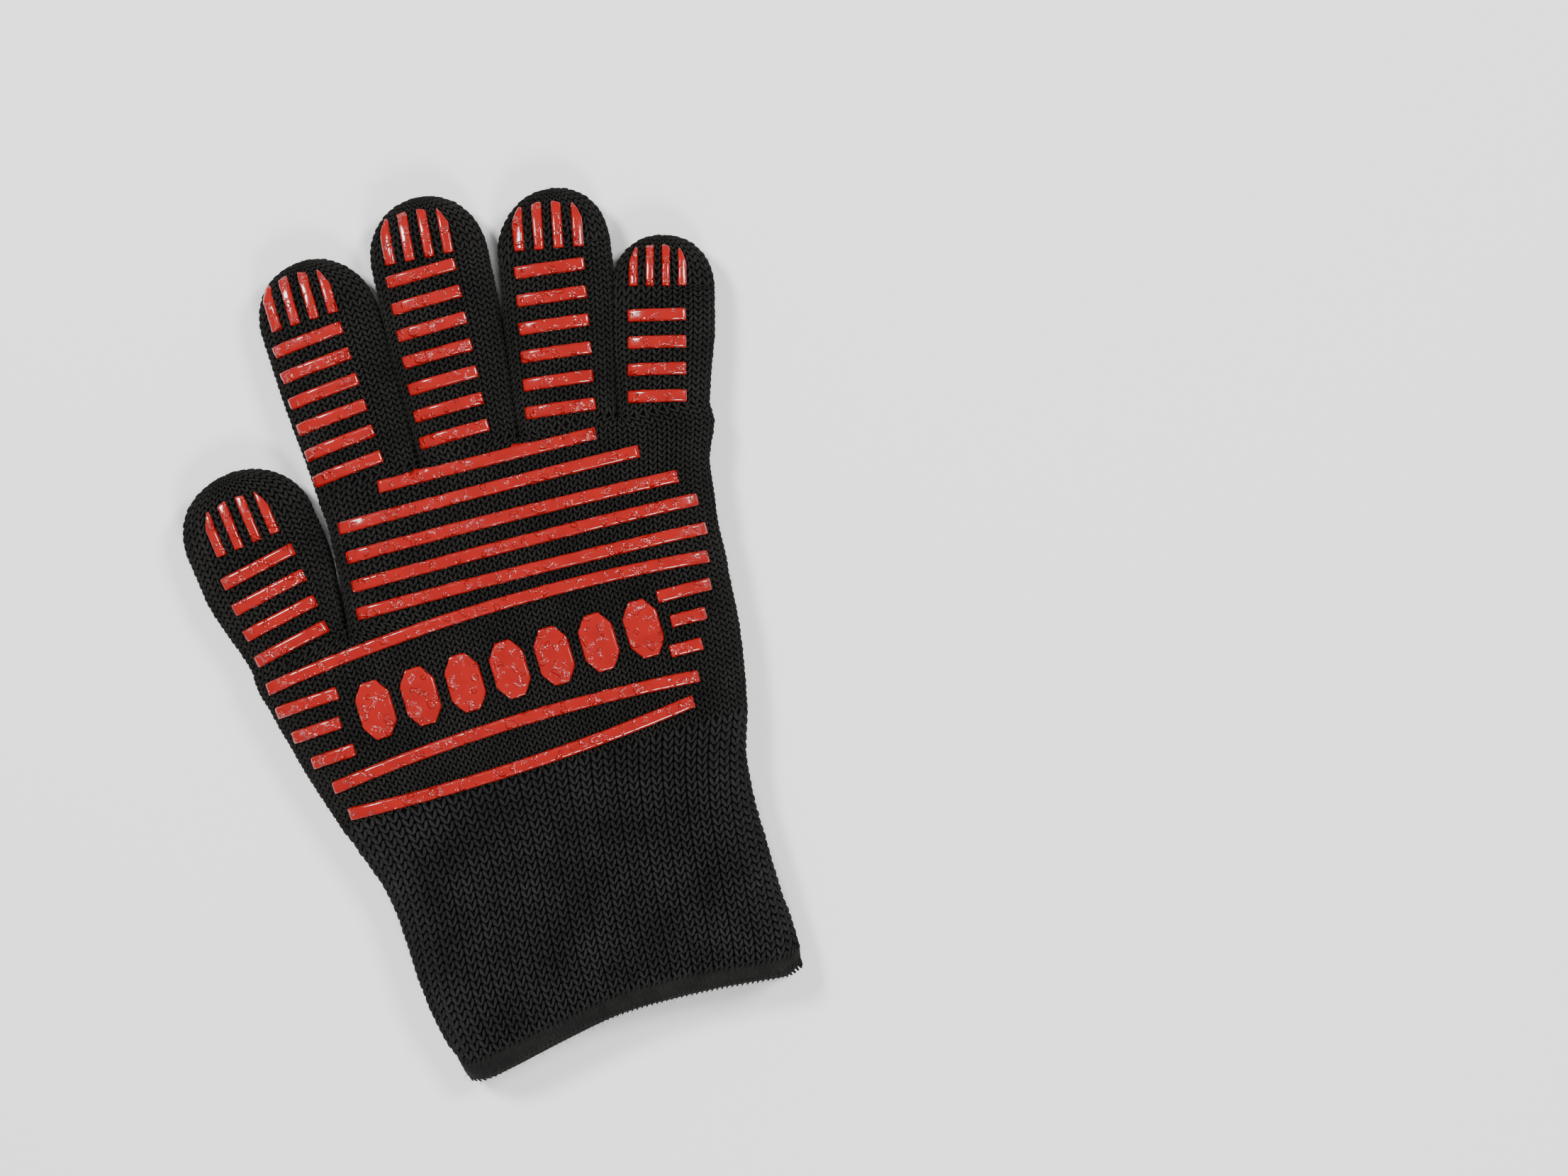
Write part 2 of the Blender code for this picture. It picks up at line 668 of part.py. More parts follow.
def emblem_quads():
    """A row of plain six-sided studs across the palm, joined by short links."""
    half = LINK_WIDE / 2
    quads = []
    first = EMBLEM_X - EMBLEM_PITCH * (EMBLEM_CELLS - 1) / 2
    for k in range(EMBLEM_CELLS):
        pad = Pad(first + k * EMBLEM_PITCH, EMBLEM_Y, 0.0)
        wide = EMBLEM_WIDE / 2
        tall = EMBLEM_TALL / 2
        shoulder = tall * EMBLEM_SHOULDER
        cap = wide / EMBLEM_CAP
        for side in (-1, 1):
            quads.append((pad.at(-wide, side * half), pad.at(wide, side * half),
                          pad.at(wide, side * shoulder), pad.at(-wide, side * shoulder)))
            quads.append((pad.at(-wide, side * shoulder), pad.at(wide, side * shoulder),
                          pad.at(cap, side * tall), pad.at(-cap, side * tall)))
        quads.append((pad.at(-wide, -half), pad.at(wide, -half), pad.at(wide, half), pad.at(-wide, half)))
        if k:
            gap = EMBLEM_PITCH - EMBLEM_WIDE
            quads.append((pad.at(-wide - gap, -half), pad.at(-wide, -half),
                          pad.at(-wide, half), pad.at(-wide - gap, half)))
    return quads


def make_palm_prints(material, collection):
    """Long bars, short bars and the studs on the palm."""
    drape = Drape(lambda bm: palm_skin(bm, 0.0))
    for name, points in PALM_BARS:
        make_print(name, strip_quads(points, BAR_WIDE), drape, material, collection)
    make_print("thumb_side_bars", short_bar_quads(LEFT_BARS), drape, material, collection)
    make_print("little_side_bars", short_bar_quads(RIGHT_BARS), drape, material, collection)
    make_print("palm_studs", emblem_quads(), drape, material, collection)


# ---------------------------------------------------------------- assembly
def main():
    """Build the glove."""
    clear_scene()
    collection = bpy.data.collections.new(COLLECTION)
    bpy.context.scene.collection.children.link(collection)
    materials = {
        "knit": make_material("black_knit", BLACK_KNIT),
        "cuff": make_material("cuff_knit", CUFF_KNIT),
        "binding": make_material("binding_cloth", BINDING_CLOTH),
        "cotton": make_material("cotton_lining", COTTON),
        "print": make_material("red_silicone", SILICONE),
    }
    make_palm_layer("palm_shell", 0.0, WALL, materials["knit"], collection)
    inside = WALL + FIT
    make_palm_layer("palm_lining", inside, inside + LINING, materials["cotton"], collection)
    make_cuff(materials, collection)
    make_palm_prints(materials["print"], collection)
    for digit in DIGITS:
        make_digit(digit, materials, collection)
        make_digit_prints(digit, materials["print"], collection)


main()
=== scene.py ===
"""Looks of the heat resistant glove: stitched knit, silicone prints, cotton lining and bound cuff.

Every textile surface is a grid of points, courses by wales, that follows the hand. The same grid carries
the knit's stitches, the cloth under them, the lining inside it and the prints on top. Plan coordinates
are millimetres from a datum in the palm.
"""

import logging
import math
from dataclasses import dataclass, field
from enum import Enum
from typing import Callable

import bmesh
import bpy
import numpy as np
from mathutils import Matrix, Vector, noise
from mathutils.bvhtree import BVHTree


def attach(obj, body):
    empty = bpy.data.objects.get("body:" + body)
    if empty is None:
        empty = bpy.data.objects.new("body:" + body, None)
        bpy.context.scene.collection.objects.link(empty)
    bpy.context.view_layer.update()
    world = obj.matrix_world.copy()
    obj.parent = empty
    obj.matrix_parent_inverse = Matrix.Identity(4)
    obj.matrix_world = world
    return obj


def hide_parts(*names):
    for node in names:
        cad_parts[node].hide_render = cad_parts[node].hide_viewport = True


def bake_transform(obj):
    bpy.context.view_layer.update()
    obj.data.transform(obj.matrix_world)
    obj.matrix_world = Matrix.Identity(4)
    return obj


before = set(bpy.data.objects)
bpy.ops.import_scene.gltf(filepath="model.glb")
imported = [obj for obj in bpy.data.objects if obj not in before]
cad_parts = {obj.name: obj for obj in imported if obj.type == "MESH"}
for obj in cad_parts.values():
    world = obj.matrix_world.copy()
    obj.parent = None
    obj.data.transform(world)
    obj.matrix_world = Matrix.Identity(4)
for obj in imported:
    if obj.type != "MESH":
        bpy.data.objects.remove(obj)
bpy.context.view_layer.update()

MM = 0.001
DATUM = np.array((-6.1, -2.8, 0.0))   # from the frame's origin to the plan's, millimetres
FLOOR_GAP = 0.9                       # height of the back's cloth over the floor, millimetres
EASE_ROWS = 5                         # rows over which a held edge's unevenness grows
CREASE_FROM = 0.93                    # share of the palm where the creases between digits start
BEND_Z = 9.0                          # height of the points that a bend runs between
ROOT_HIGH = 18.2                      # height of the palm side at the finger roots
BAR_WIDE = 4.3                        # width of a printed bar
STRAND_SHARE = 0.55                   # share of the fine strands in the yarn's shade
LOG = logging.getLogger("glove")
Array = np.ndarray
Color = tuple[float, float, float]
Place = tuple[float, float, float]
Setting = float | tuple[float, float, float]
Point = tuple[float, float]
Knots = tuple[Point, ...]
Solid = tuple[Array, Array]           # points in millimetres, and triangles
Line = Callable[[float], float]       # plan y at a plan x
Look = tuple[bpy.types.Material, str, int]     # a yarn, its slot, and its fibres' seed


class Lay(Enum):
    """How the loops of a course lean."""

    PLAIN = 0
    PAIRED = 1                        # two wales stand close, then a furrow
    OVERLOCK = 2


# ---------------------------------------------------------------- finishes
@dataclass(frozen=True)
class Shop:
    """A node tree, with short ways to add and join its nodes."""

    tree: bpy.types.NodeTree

    def add(self, kind: str, operation: str = "", **values: Setting) -> bpy.types.Node:
        """Add a node.

        Args:
            kind: the node's type, without "ShaderNode".
            operation: a Math node's operation.
            values: constants for its inputs, named with _ for a space.

        Returns:
            The node.
        """
        node = self.tree.nodes.new(kind if kind.startswith("NodeGroup") else f"ShaderNode{kind}")
        if operation:
            node.operation = operation
        for name, value in values.items():
            node.inputs[name.replace("_", " ")].default_value = value
        return node

    def ramp(self, ends: tuple[float, float], colors: tuple[Color, Color]) -> bpy.types.Node:
        """Add a colour ramp.

        Args:
            ends: where the ramp starts and ends.
            colors: its first and last colour.

        Returns:
            The node.
        """
        node = self.add("ValToRGB")
        for element, end, color in zip(node.color_ramp.elements, ends, colors):
            element.position = end
            element.color = (*color, 1.0)
        return node

    def scaled(self, share: float) -> bpy.types.Node:
        """Add a Math node that multiplies by a share.

        Args:
            share: the share.

        Returns:
            The node.
        """
        node = self.add("Math", "MULTIPLY")
        node.inputs[1].default_value = share
        return node

    def join(self, source: bpy.types.Node, name: str, target: bpy.types.Node, socket: str | int) -> None:
        """Link one node's output to another's input."""
        self.tree.links.new(source.outputs[name], target.inputs[socket])


def new_material(name: str) -> tuple[bpy.types.Material, bpy.types.Node]:
    """Make an empty Principled material.

    Args:
        name: the material's name.

    Returns:
        The material and its Principled node.
    """
    material = bpy.data.materials.new(name)
    material.use_nodes = True
    return material, material.node_tree.nodes["Principled BSDF"]


def fibre_group() -> bpy.types.NodeTree:
    """Make the hairy surface of spun yarn, shared by every textile here.

    Returns:
        A node group with a shade, from 0 to 1, and a height for a bump.
    """
    group = bpy.data.node_groups.new("spun_fibre", "ShaderNodeTree")
    socket = group.interface.new_socket
    socket("Strand Scale", in_out="INPUT", socket_type="NodeSocketFloat").default_value = 900.0
    socket("Patch Scale", in_out="INPUT", socket_type="NodeSocketFloat").default_value = 60.0
    socket("Shade", in_out="OUTPUT", socket_type="NodeSocketFloat")
    socket("Height", in_out="OUTPUT", socket_type="NodeSocketFloat")
    shop = Shop(group)
    inside, outside = shop.add("NodeGroupInput"), shop.add("NodeGroupOutput")
    place = shop.add("TexCoord")
    strand = shop.add("TexNoise", Detail=3.0, Roughness=0.65)
    patch = shop.add("TexNoise", Detail=2.0)
    stretch = shop.add("Mapping", Scale=(1.0, 0.35, 1.0))
    mix = shop.add("Math", "MULTIPLY_ADD")
    mix.inputs[1].default_value = STRAND_SHARE
    share = shop.scaled(1.0 - STRAND_SHARE)
    shop.join(place, "Object", stretch, "Vector")
    shop.join(stretch, "Vector", strand, "Vector")
    shop.join(place, "Object", patch, "Vector")
    shop.join(inside, "Strand Scale", strand, "Scale")
    shop.join(inside, "Patch Scale", patch, "Scale")
    shop.join(patch, "Fac", share, 0)
    shop.join(strand, "Fac", mix, 0)
    shop.join(share, "Value", mix, 2)
    shop.join(mix, "Value", outside, "Shade")
    shop.join(strand, "Fac", outside, "Height")
    return group


@dataclass(frozen=True)
class YarnFinish:
    """A matt textile made of spun yarn."""

    name: str
    dark: Color
    light: Color
    strand_scale: float = 900.0
    patch_scale: float = 60.0
    bump: float = 0.35
    sheen: float = 0.12
    roughness: float = 0.95
    shades: tuple[float, float] = (0.32, 0.72)
    hair_deep: float = 0.0003

    def make(self, fibre: bpy.types.NodeTree) -> bpy.types.Material:
        """Build the material.

        Args:
            fibre: the shared fibre group.

        Returns:
            The finished material.
        """
        material, shader = new_material(self.name)
        shop = Shop(material.node_tree)
        hair = shop.add("Group")
        hair.node_tree = fibre
        hair.inputs["Strand Scale"].default_value = self.strand_scale
        hair.inputs["Patch Scale"].default_value = self.patch_scale
        ramp = shop.ramp(self.shades, (self.dark, self.light))
        bump = shop.add("Bump", Strength=self.bump, Distance=self.hair_deep)
        shop.join(hair, "Shade", ramp, "Fac")
        shop.join(ramp, "Color", shader, "Base Color")
        shop.join(hair, "Height", bump, "Height")
        shop.join(bump, "Normal", shader, "Normal")
        shader.inputs["Roughness"].default_value = self.roughness
        shader.inputs["Sheen Weight"].default_value = self.sheen
        shader.inputs["Sheen Roughness"].default_value = 0.6
        shader.inputs["Specular IOR Level"].default_value = 0.12
        return material


@dataclass(frozen=True)
class SiliconeFinish:
    """Screen-printed silicone: saturated, glossy and lumpy where it soaked into the knit."""

    name: str
    deep: Color
    face: Color
    roughness: float = 0.13
    lump_scale: float = 330.0
    wave_scale: float = 160.0
    shades: tuple[float, float] = (0.3, 0.6)
    blister: tuple[float, float] = (0.54, 0.66)
    blister_deep: float = 0.0006
    wave_share: float = 0.3

    def make(self) -> bpy.types.Material:
        """Build the material.

        Returns:
            The finished material.
        """
        material, shader = new_material(self.name)
        shop = Shop(material.node_tree)
        place = shop.add("TexCoord")
        lump = shop.add("TexNoise", Scale=self.lump_scale, Detail=2.0)
        wave = shop.add("TexNoise", Scale=self.wave_scale, Detail=1.0)
        total = shop.add("Math", "ADD")
        ramp = shop.ramp(self.shades, (self.deep, self.face))
        bump = shop.add("Bump", Strength=1.0, Distance=self.blister_deep)
        blister = shop.ramp(self.blister, ((0.0, 0.0, 0.0), (1.0, 1.0, 1.0)))
        soft = shop.scaled(self.wave_share)
        for texture in (lump, wave):
            shop.join(place, "Object", texture, "Vector")
        shop.join(lump, "Fac", blister, "Fac")
        shop.join(blister, "Color", total, 0)
        shop.join(wave, "Fac", soft, 0)
        shop.join(soft, "Value", total, 1)
        shop.join(total, "Value", bump, "Height")
        shop.join(wave, "Fac", ramp, "Fac")
        shop.join(ramp, "Color", shader, "Base Color")
        shop.join(bump, "Normal", shader, "Normal")
        shader.inputs["Roughness"].default_value = self.roughness
        shader.inputs["Specular IOR Level"].default_value = 0.6
        return material


BLACK_KNIT = YarnFinish("black_knit", (0.0032, 0.0031, 0.0028), (0.0165, 0.0158, 0.0140), sheen=0.02)
# painted shade: a near-black cloth under the loops, darker than the yarn, stands in for the shade in the gaps
# between stitches
KNIT_PAINTED_SHADE = YarnFinish("knit_painted_shade", (0.0010, 0.0010, 0.0010), (0.0025, 0.0025, 0.0024), sheen=0.0)
CUFF_KNIT = YarnFinish("cuff_knit", (0.0036, 0.0039, 0.0038), (0.0185, 0.0195, 0.0188), sheen=0.02)
BINDING_TAPE = YarnFinish("binding_tape", (0.0032, 0.0032, 0.0032), (0.0115, 0.0113, 0.0105),
                          strand_scale=1400.0, patch_scale=120.0, bump=0.25, sheen=0.02)
COTTON = YarnFinish("cotton_lining", (0.45, 0.41, 0.34), (0.68, 0.64, 0.56),
                    strand_scale=1100.0, patch_scale=90.0, bump=0.3)
RED_SILICONE = SiliconeFinish("red_silicone", (0.255, 0.0042, 0.0032), (0.295, 0.0052, 0.0038))


@dataclass
class Wardrobe:
    """The materials, each made once."""

    knit: bpy.types.Material = field(init=False)
    # painted shade: the near-black material of the cloth under the loops, for the shade between stitches
    shade: bpy.types.Material = field(init=False)
    cuff: bpy.types.Material = field(init=False)
    tape: bpy.types.Material = field(init=False)
    cotton: bpy.types.Material = field(init=False)
    silicone: bpy.types.Material = field(init=False)

    def __post_init__(self) -> None:
        """Make every finish."""
        fibre = fibre_group()
        self.knit = BLACK_KNIT.make(fibre)
        self.shade = KNIT_PAINTED_SHADE.make(fibre)
        self.cuff = CUFF_KNIT.make(fibre)
        self.tape = BINDING_TAPE.make(fibre)
        self.cotton = COTTON.make(fibre)
        self.silicone = RED_SILICONE.make()


# ---------------------------------------------------------------- sections
def smooth(value: float) -> float:
    """Ease from 0 to 1."""
    value = min(max(value, 0.0), 1.0)
    return value * value * (3 - 2 * value)


@dataclass(frozen=True)
class Bound:
    """One side of a cell of the section: its place, and how far and how wide the cloth falls there."""

    x: float
    fall: float
    wide: float


def profile(left: Bound, right: Bound, low: float, high: float, count: int) -> tuple[Array, Array]:
    """Work out the palm line and the back line of one cell, in even steps along the cloth.

    Args:
        left: the cell's left side.
        right: the cell's right side.
        low: height of the back, in millimetres.
        high: height of the palm side, in millimetres.
        count: wales across the cell.

    Returns:
        Two arrays of (x, z), each with count + 1 points from left to right.
    """
    t = np.linspace(0, 1, 81)
    x = left.x + (right.x - left.x) * (1 - np.cos(math.pi * t)) / 2
    from_left = np.clip((x - left.x) / left.wide, 0, 1)
    from_right = np.clip((right.x - x) / right.wide, 0, 1)
    fall = left.fall * (1 - np.sqrt(1 - (1 - from_left) ** 2))
    fall = fall + right.fall * (1 - np.sqrt(1 - (1 - from_right) ** 2))
    half = (high - low) / 2
    lines = []
    for z in (high - half * fall, low + half * fall):
        steps = np.hypot(np.diff(x), np.diff(z))
        run = np.concatenate(([0.0], np.cumsum(steps)))
        even = np.linspace(0, run[-1], count + 1)
        lines.append(np.stack((np.interp(even, run, x), np.interp(even, run, z)), axis=1))
    return lines[0], lines[1]


def closed_ring(cells: list[tuple[Array, Array]]) -> Array:
    """Join the cells of a row: over the palm side, then back along the back.

    Args:
        cells: the palm line and the back line of each cell.

    Returns:
        One loop of (x, z).
    """
    top = np.concatenate([cells[0][0]] + [cell[0][1:] for cell in cells[1:]])
    bottom = np.concatenate([cells[0][1]] + [cell[1][1:] for cell in cells[1:]])
    return np.concatenate((top, bottom[-2:0:-1]))


# ---------------------------------------------------------------- cloth grids
@dataclass
class Cloth:
    """A tube of cloth: rows of points (courses by wales), closed around."""

    points: Array                     # rows, columns, 3; millimetres from the datum
    ruffle: float = 0.45              # height of the soft unevenness
    seed: float = 0.0

    def normals(self) -> Array:
        """Work out the outward directions.

        Returns:
            Unit normals that point out of the tube, one for each point.
        """
        p = self.points
        around = np.roll(p, -1, axis=1) - np.roll(p, 1, axis=1)
        along = np.gradient(p, axis=0)
        n = np.cross(around, along)
        return n / np.maximum(np.linalg.norm(n, axis=2, keepdims=True), 1e-9)

    def settle(self, hold_first: bool, hold_last: bool) -> "Cloth":
        """Give the cloth its soft unevenness.

        Args:
            hold_first: leave the first row where it is, because it meets another tube.
            hold_last: leave the last row where it is.

        Returns:
            The same cloth.
        """
        n = self.normals()
        rows, columns, _ = self.points.shape
        for j in range(rows):
            ease = smooth(j / EASE_ROWS) if hold_first else 1.0
            ease *= smooth((rows - 1 - j) / EASE_ROWS) if hold_last else 1.0
            for i in range(columns):
                x, y, z = self.points[j, i]
                wide = noise.noise(Vector((x / 27, y / 27, z / 27 + self.seed)))
                fine = noise.noise(Vector((x / 9, y / 9, z / 9 + self.seed + 7.0)))
                self.points[j, i] += n[j, i] * self.ruffle * ease * (wide + 0.35 * fine)
        self.points[:, :, 2] = np.maximum(self.points[:, :, 2], FLOOR_GAP)
        return self

    def part(self, first: int, last: int) -> "Cloth":
        """The rows from first to last, both included, with the whole tube's unevenness."""
        return Cloth(self.points[first:last + 1].copy(), self.ruffle, self.seed)

    def sunk(self, depth: float) -> Array:
        """The points moved into the tube by a depth."""
        return self.points - self.normals() * depth


@dataclass(frozen=True)
class Leg:
    """One leg of a loop, in shares of a wale across and of a course along."""

    middle: float
    lean: float
    wide: float
    long: float
    centre: float


KNIT_LEGS = (Leg(0.275, -0.29, 0.185, 0.64, 0.46), Leg(0.725, 0.29, 0.185, 0.64, 0.46))
OVERLOCK_LEGS = (Leg(0.5, 0.55, 0.30, 0.62, 0.5),)
PAIRING = 0.012                       # how far paired wales stand towards each other
LEG_BOW = 0.07
LEG_GAP = 0.03


class LoopStamp:
    """A knitted loop's legs, as small closed leaves, and how they are stamped over a cloth."""

    def __init__(self, lay: Lay, plump: float) -> None:
        """Shape the legs.

        Args:
            lay: how the loops lean.
            plump: half thickness of the yarn, in millimetres.
        """
        bm = bmesh.new()
        bmesh.ops.create_uvsphere(bm, u_segments=6, v_segments=4, radius=1.0)
        bmesh.ops.triangulate(bm, faces=bm.faces)
        leaf = np.array([v.co for v in bm.verts])
        corners = [[v.index for v in f.verts] for f in bm.faces]
        first = [c.index(min(c)) for c in corners]
        self.faces = np.array(sorted(c[k:] + c[:k] for c, k in zip(corners, first)))
        bm.free()
        along, across, up = leaf[:, 2], leaf[:, 0], leaf[:, 1]
        self.pair = PAIRING if lay is Lay.PAIRED else 0.0
        self.stamps = []
        for leg in OVERLOCK_LEGS if lay is Lay.OVERLOCK else KNIT_LEGS:
            bow = math.copysign(LEG_BOW, leg.lean) * (1 - along**2)
            gap = math.copysign(LEG_GAP, leg.lean)
            u = leg.middle + across * leg.wide + along * leg.long * leg.lean + bow - gap
            v = leg.centre + along * leg.long
            h = plump * (0.25 + up - 0.42 * along)
            self.stamps.append(np.stack((u, v, h), axis=1))

    def cover(self, cloth: Cloth, columns: range) -> Solid:
        """Stamp the loops over a range of wales of a cloth.

        Args:
            cloth: the cloth to cover.
            columns: the wales to cover.

        Returns:
            Points in millimetres, and triangles.
        """
        p, n = cloth.points, cloth.normals()
        rows, count, _ = p.shape
        i = np.array(list(columns)) % count
        jj, ii = np.meshgrid(np.arange(rows - 1), i, indexing="ij")
        jj, ii = jj.ravel(), ii.ravel()
        right = (ii + 1) % count
        corners = [(p[jj, ii], n[jj, ii]), (p[jj, right], n[jj, right]),
                   (p[jj + 1, ii], n[jj + 1, ii]), (p[jj + 1, right], n[jj + 1, right])]
        wobble = np.array([noise.noise(Vector((a * 0.91, b * 0.77, 3.3))) for a, b in zip(jj, ii)])
        points, faces, base = [], [], 0
        for stamp in self.stamps:
            v, h = stamp[None, :, 1], stamp[:, 2]
            closer = np.where(ii % 2, -self.pair, self.pair)[:, None]
            u = 0.5 + (stamp[None, :, 0] - 0.5) * (1 - 1.8 * self.pair) + closer
            weights = ((1 - u) * (1 - v), u * (1 - v), (1 - u) * v, u * v)
            place = sum(w[:, :, None] * c[0][:, None, :] for w, c in zip(weights, corners))
            out = sum(w[:, :, None] * c[1][:, None, :] for w, c in zip(weights, corners))
            height = h[None, :, None] * (1 + 0.25 * wobble[:, None, None]) + 0.06 * wobble[:, None, None]
            place = place + out * height
            points.append(place.reshape(-1, 3))
            shift = base + np.arange(len(jj)) * len(stamp)
            faces.append((self.faces[None, :, :] + shift[:, None, None]).reshape(-1, 3))
            base += len(jj) * len(stamp)
        return np.concatenate(points), np.concatenate(faces)


@dataclass(frozen=True)
class Fuzz:
    """Loose fibres that stand off a knit."""

    share: float = 0.6                # fibres for each stitch
    long: float = 1.9                 # longest fibre, in millimetres
    thick: float = 0.045

    def grow(self, cloth: Cloth, seed: int) -> Solid:
        """Fibres at chosen places of a cloth, each a thin bent spike.

        Args:
            cloth: the cloth.
            seed: chooses the places.

        Returns:
            Points in millimetres, and triangles.
        """
        dice = np.random.RandomState(seed)
        p, n = cloth.points, cloth.normals()
        rows, columns, _ = p.shape
        count = int(rows * columns * self.share)
        j, i = dice.randint(0, rows, count), dice.randint(0, columns, count)
        root, up = p[j, i], n[j, i]
        side = np.cross(up, dice.normal(size=(count, 3)))
        side = side / np.maximum(np.linalg.norm(side, axis=1, keepdims=True), 1e-9)
        across = np.cross(up, side)
        long = (self.long * dice.uniform(0.35, 1.0, count) ** 1.5)[:, None]
        bend = root + up * (0.35 + 0.45 * long) + side * 0.25 * long
        tip = root + up * (0.35 + 0.62 * long) + side * 0.8 * long
        rings = []
        for centre, wide in ((root, 1.0), (bend, 0.8)):
            for turn in (0.0, 2.094, 4.189):
                spoke = across * math.cos(turn) + up * math.sin(turn) * 0.7
                rings.append(centre + self.thick * wide * spoke)
        points = np.stack((*rings, tip), axis=1)
        spike = np.array([(0, 2, 1), (0, 1, 4), (0, 4, 3), (1, 2, 5), (1, 5, 4), (2, 0, 3), (2, 3, 5),
                          (3, 4, 6), (4, 5, 6), (5, 3, 6)])
        faces = spike[None, :, :] + (np.arange(count) * 7)[:, None, None]
        low = points[:, :, 2].min(axis=1) > 0.1
        return points.reshape(-1, 3), faces[low].reshape(-1, 3)


def wall(outer: Array, inner: Array, close_tip: bool) -> Solid:
    """Build a tube wall between two grids, with its rims or a closed tip.

    Args:
        outer: the outer grid.
        inner: the inner grid, of the same shape.
        close_tip: close the last row instead of leaving it open.

    Returns:
        Points in millimetres, and triangles.
    """
    rows, count, _ = outer.shape
    points = [outer.reshape(-1, 3), inner.reshape(-1, 3)]
    total = rows * count
    j, i = np.meshgrid(np.arange(rows - 1), np.arange(count), indexing="ij")
    a = (j * count + i).ravel()
    b = (j * count + (i + 1) % count).ravel()
    c, d = b + count, a + count
    out = np.concatenate((np.stack((a, b, c), 1), np.stack((a, c, d), 1)))
    faces = [out, out[:, ::-1] + total]
    ring = np.arange(count)
    after = (ring + 1) % count
    faces += [np.stack((ring, ring + total, after + total), 1), np.stack((ring, after + total, after), 1)]
    last = (rows - 1) * count
    if close_tip:
        for start, flip in ((last, False), (last + total, True)):
            centre = len(points[0]) + len(points[1]) + len(points) - 2
            grid = outer if start == last else inner
            points.append(grid[-1].mean(axis=0, keepdims=True))
            fan = np.stack((ring + start, after + start, np.full(count, centre)), 1)
            faces.append(fan[:, ::-1] if flip else fan)
    else:
        faces += [np.stack((ring + last, after + last, after + last + total), 1),
                  np.stack((ring + last, after + last + total, ring + last + total), 1)]
    return np.concatenate(points), np.concatenate(faces)


def make_piece(name: str, parts: list[Solid], *materials: bpy.types.Material) -> bpy.types.Object:
    """Make one smooth-shaded object from triangle sets.

    Args:
        name: the piece's name.
        parts: points in millimetres and triangles, for each set.
        materials: a material for all sets, or one for each set.

    Returns:
        The object, in metres.
    """
    shift, points, faces = 0, [], []
    for some_points, some_faces in parts:
        points.append(some_points)
        faces.append(some_faces + shift)
        shift += len(some_points)
    co = (np.concatenate(points) + DATUM) * MM
    tri = np.concatenate(faces)
    mesh = bpy.data.meshes.new(name)
    mesh.vertices.add(len(co))
    mesh.vertices.foreach_set("co", co.astype(np.float32).ravel())
    mesh.loops.add(len(tri) * 3)
    mesh.loops.foreach_set("vertex_index", tri.astype(np.int32).ravel())
    mesh.polygons.add(len(tri))
    mesh.polygons.foreach_set("loop_start", np.arange(0, len(tri) * 3, 3, dtype=np.int32))
    mesh.update(calc_edges=True)
    mesh.shade_smooth()
    for material in materials:
        mesh.materials.append(material)
    if len(materials) > 1:
        index = np.repeat(np.arange(len(parts)), [len(part[1]) for part in parts])
        mesh.polygons.foreach_set("material_index", index.astype(np.int32))
    obj = bpy.data.objects.new(name, mesh)
    bpy.context.scene.collection.objects.link(obj)
    return obj


# ---------------------------------------------------------------- how pieces move
@dataclass(frozen=True)
class Motion:
    """What a piece moves with: one body, or two with the line where it turns from one to the other."""

    body: str
    other: str = ""
    start: Point = (0.0, 0.0)
    end: Point = (0.0, 0.0)

    def give(self, obj: bpy.types.Object) -> None:
        """Attach a finished piece to its body; a piece with two bodies only has its transform baked into its
        mesh.

        Args:
            obj: the piece.
        """
        if not self.other:
            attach(obj, self.body)
            return
        first = (Vector((*self.start, BEND_Z)) + Vector(DATUM)) * MM
        second = (Vector((*self.end, BEND_Z)) + Vector(DATUM)) * MM
        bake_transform(obj)


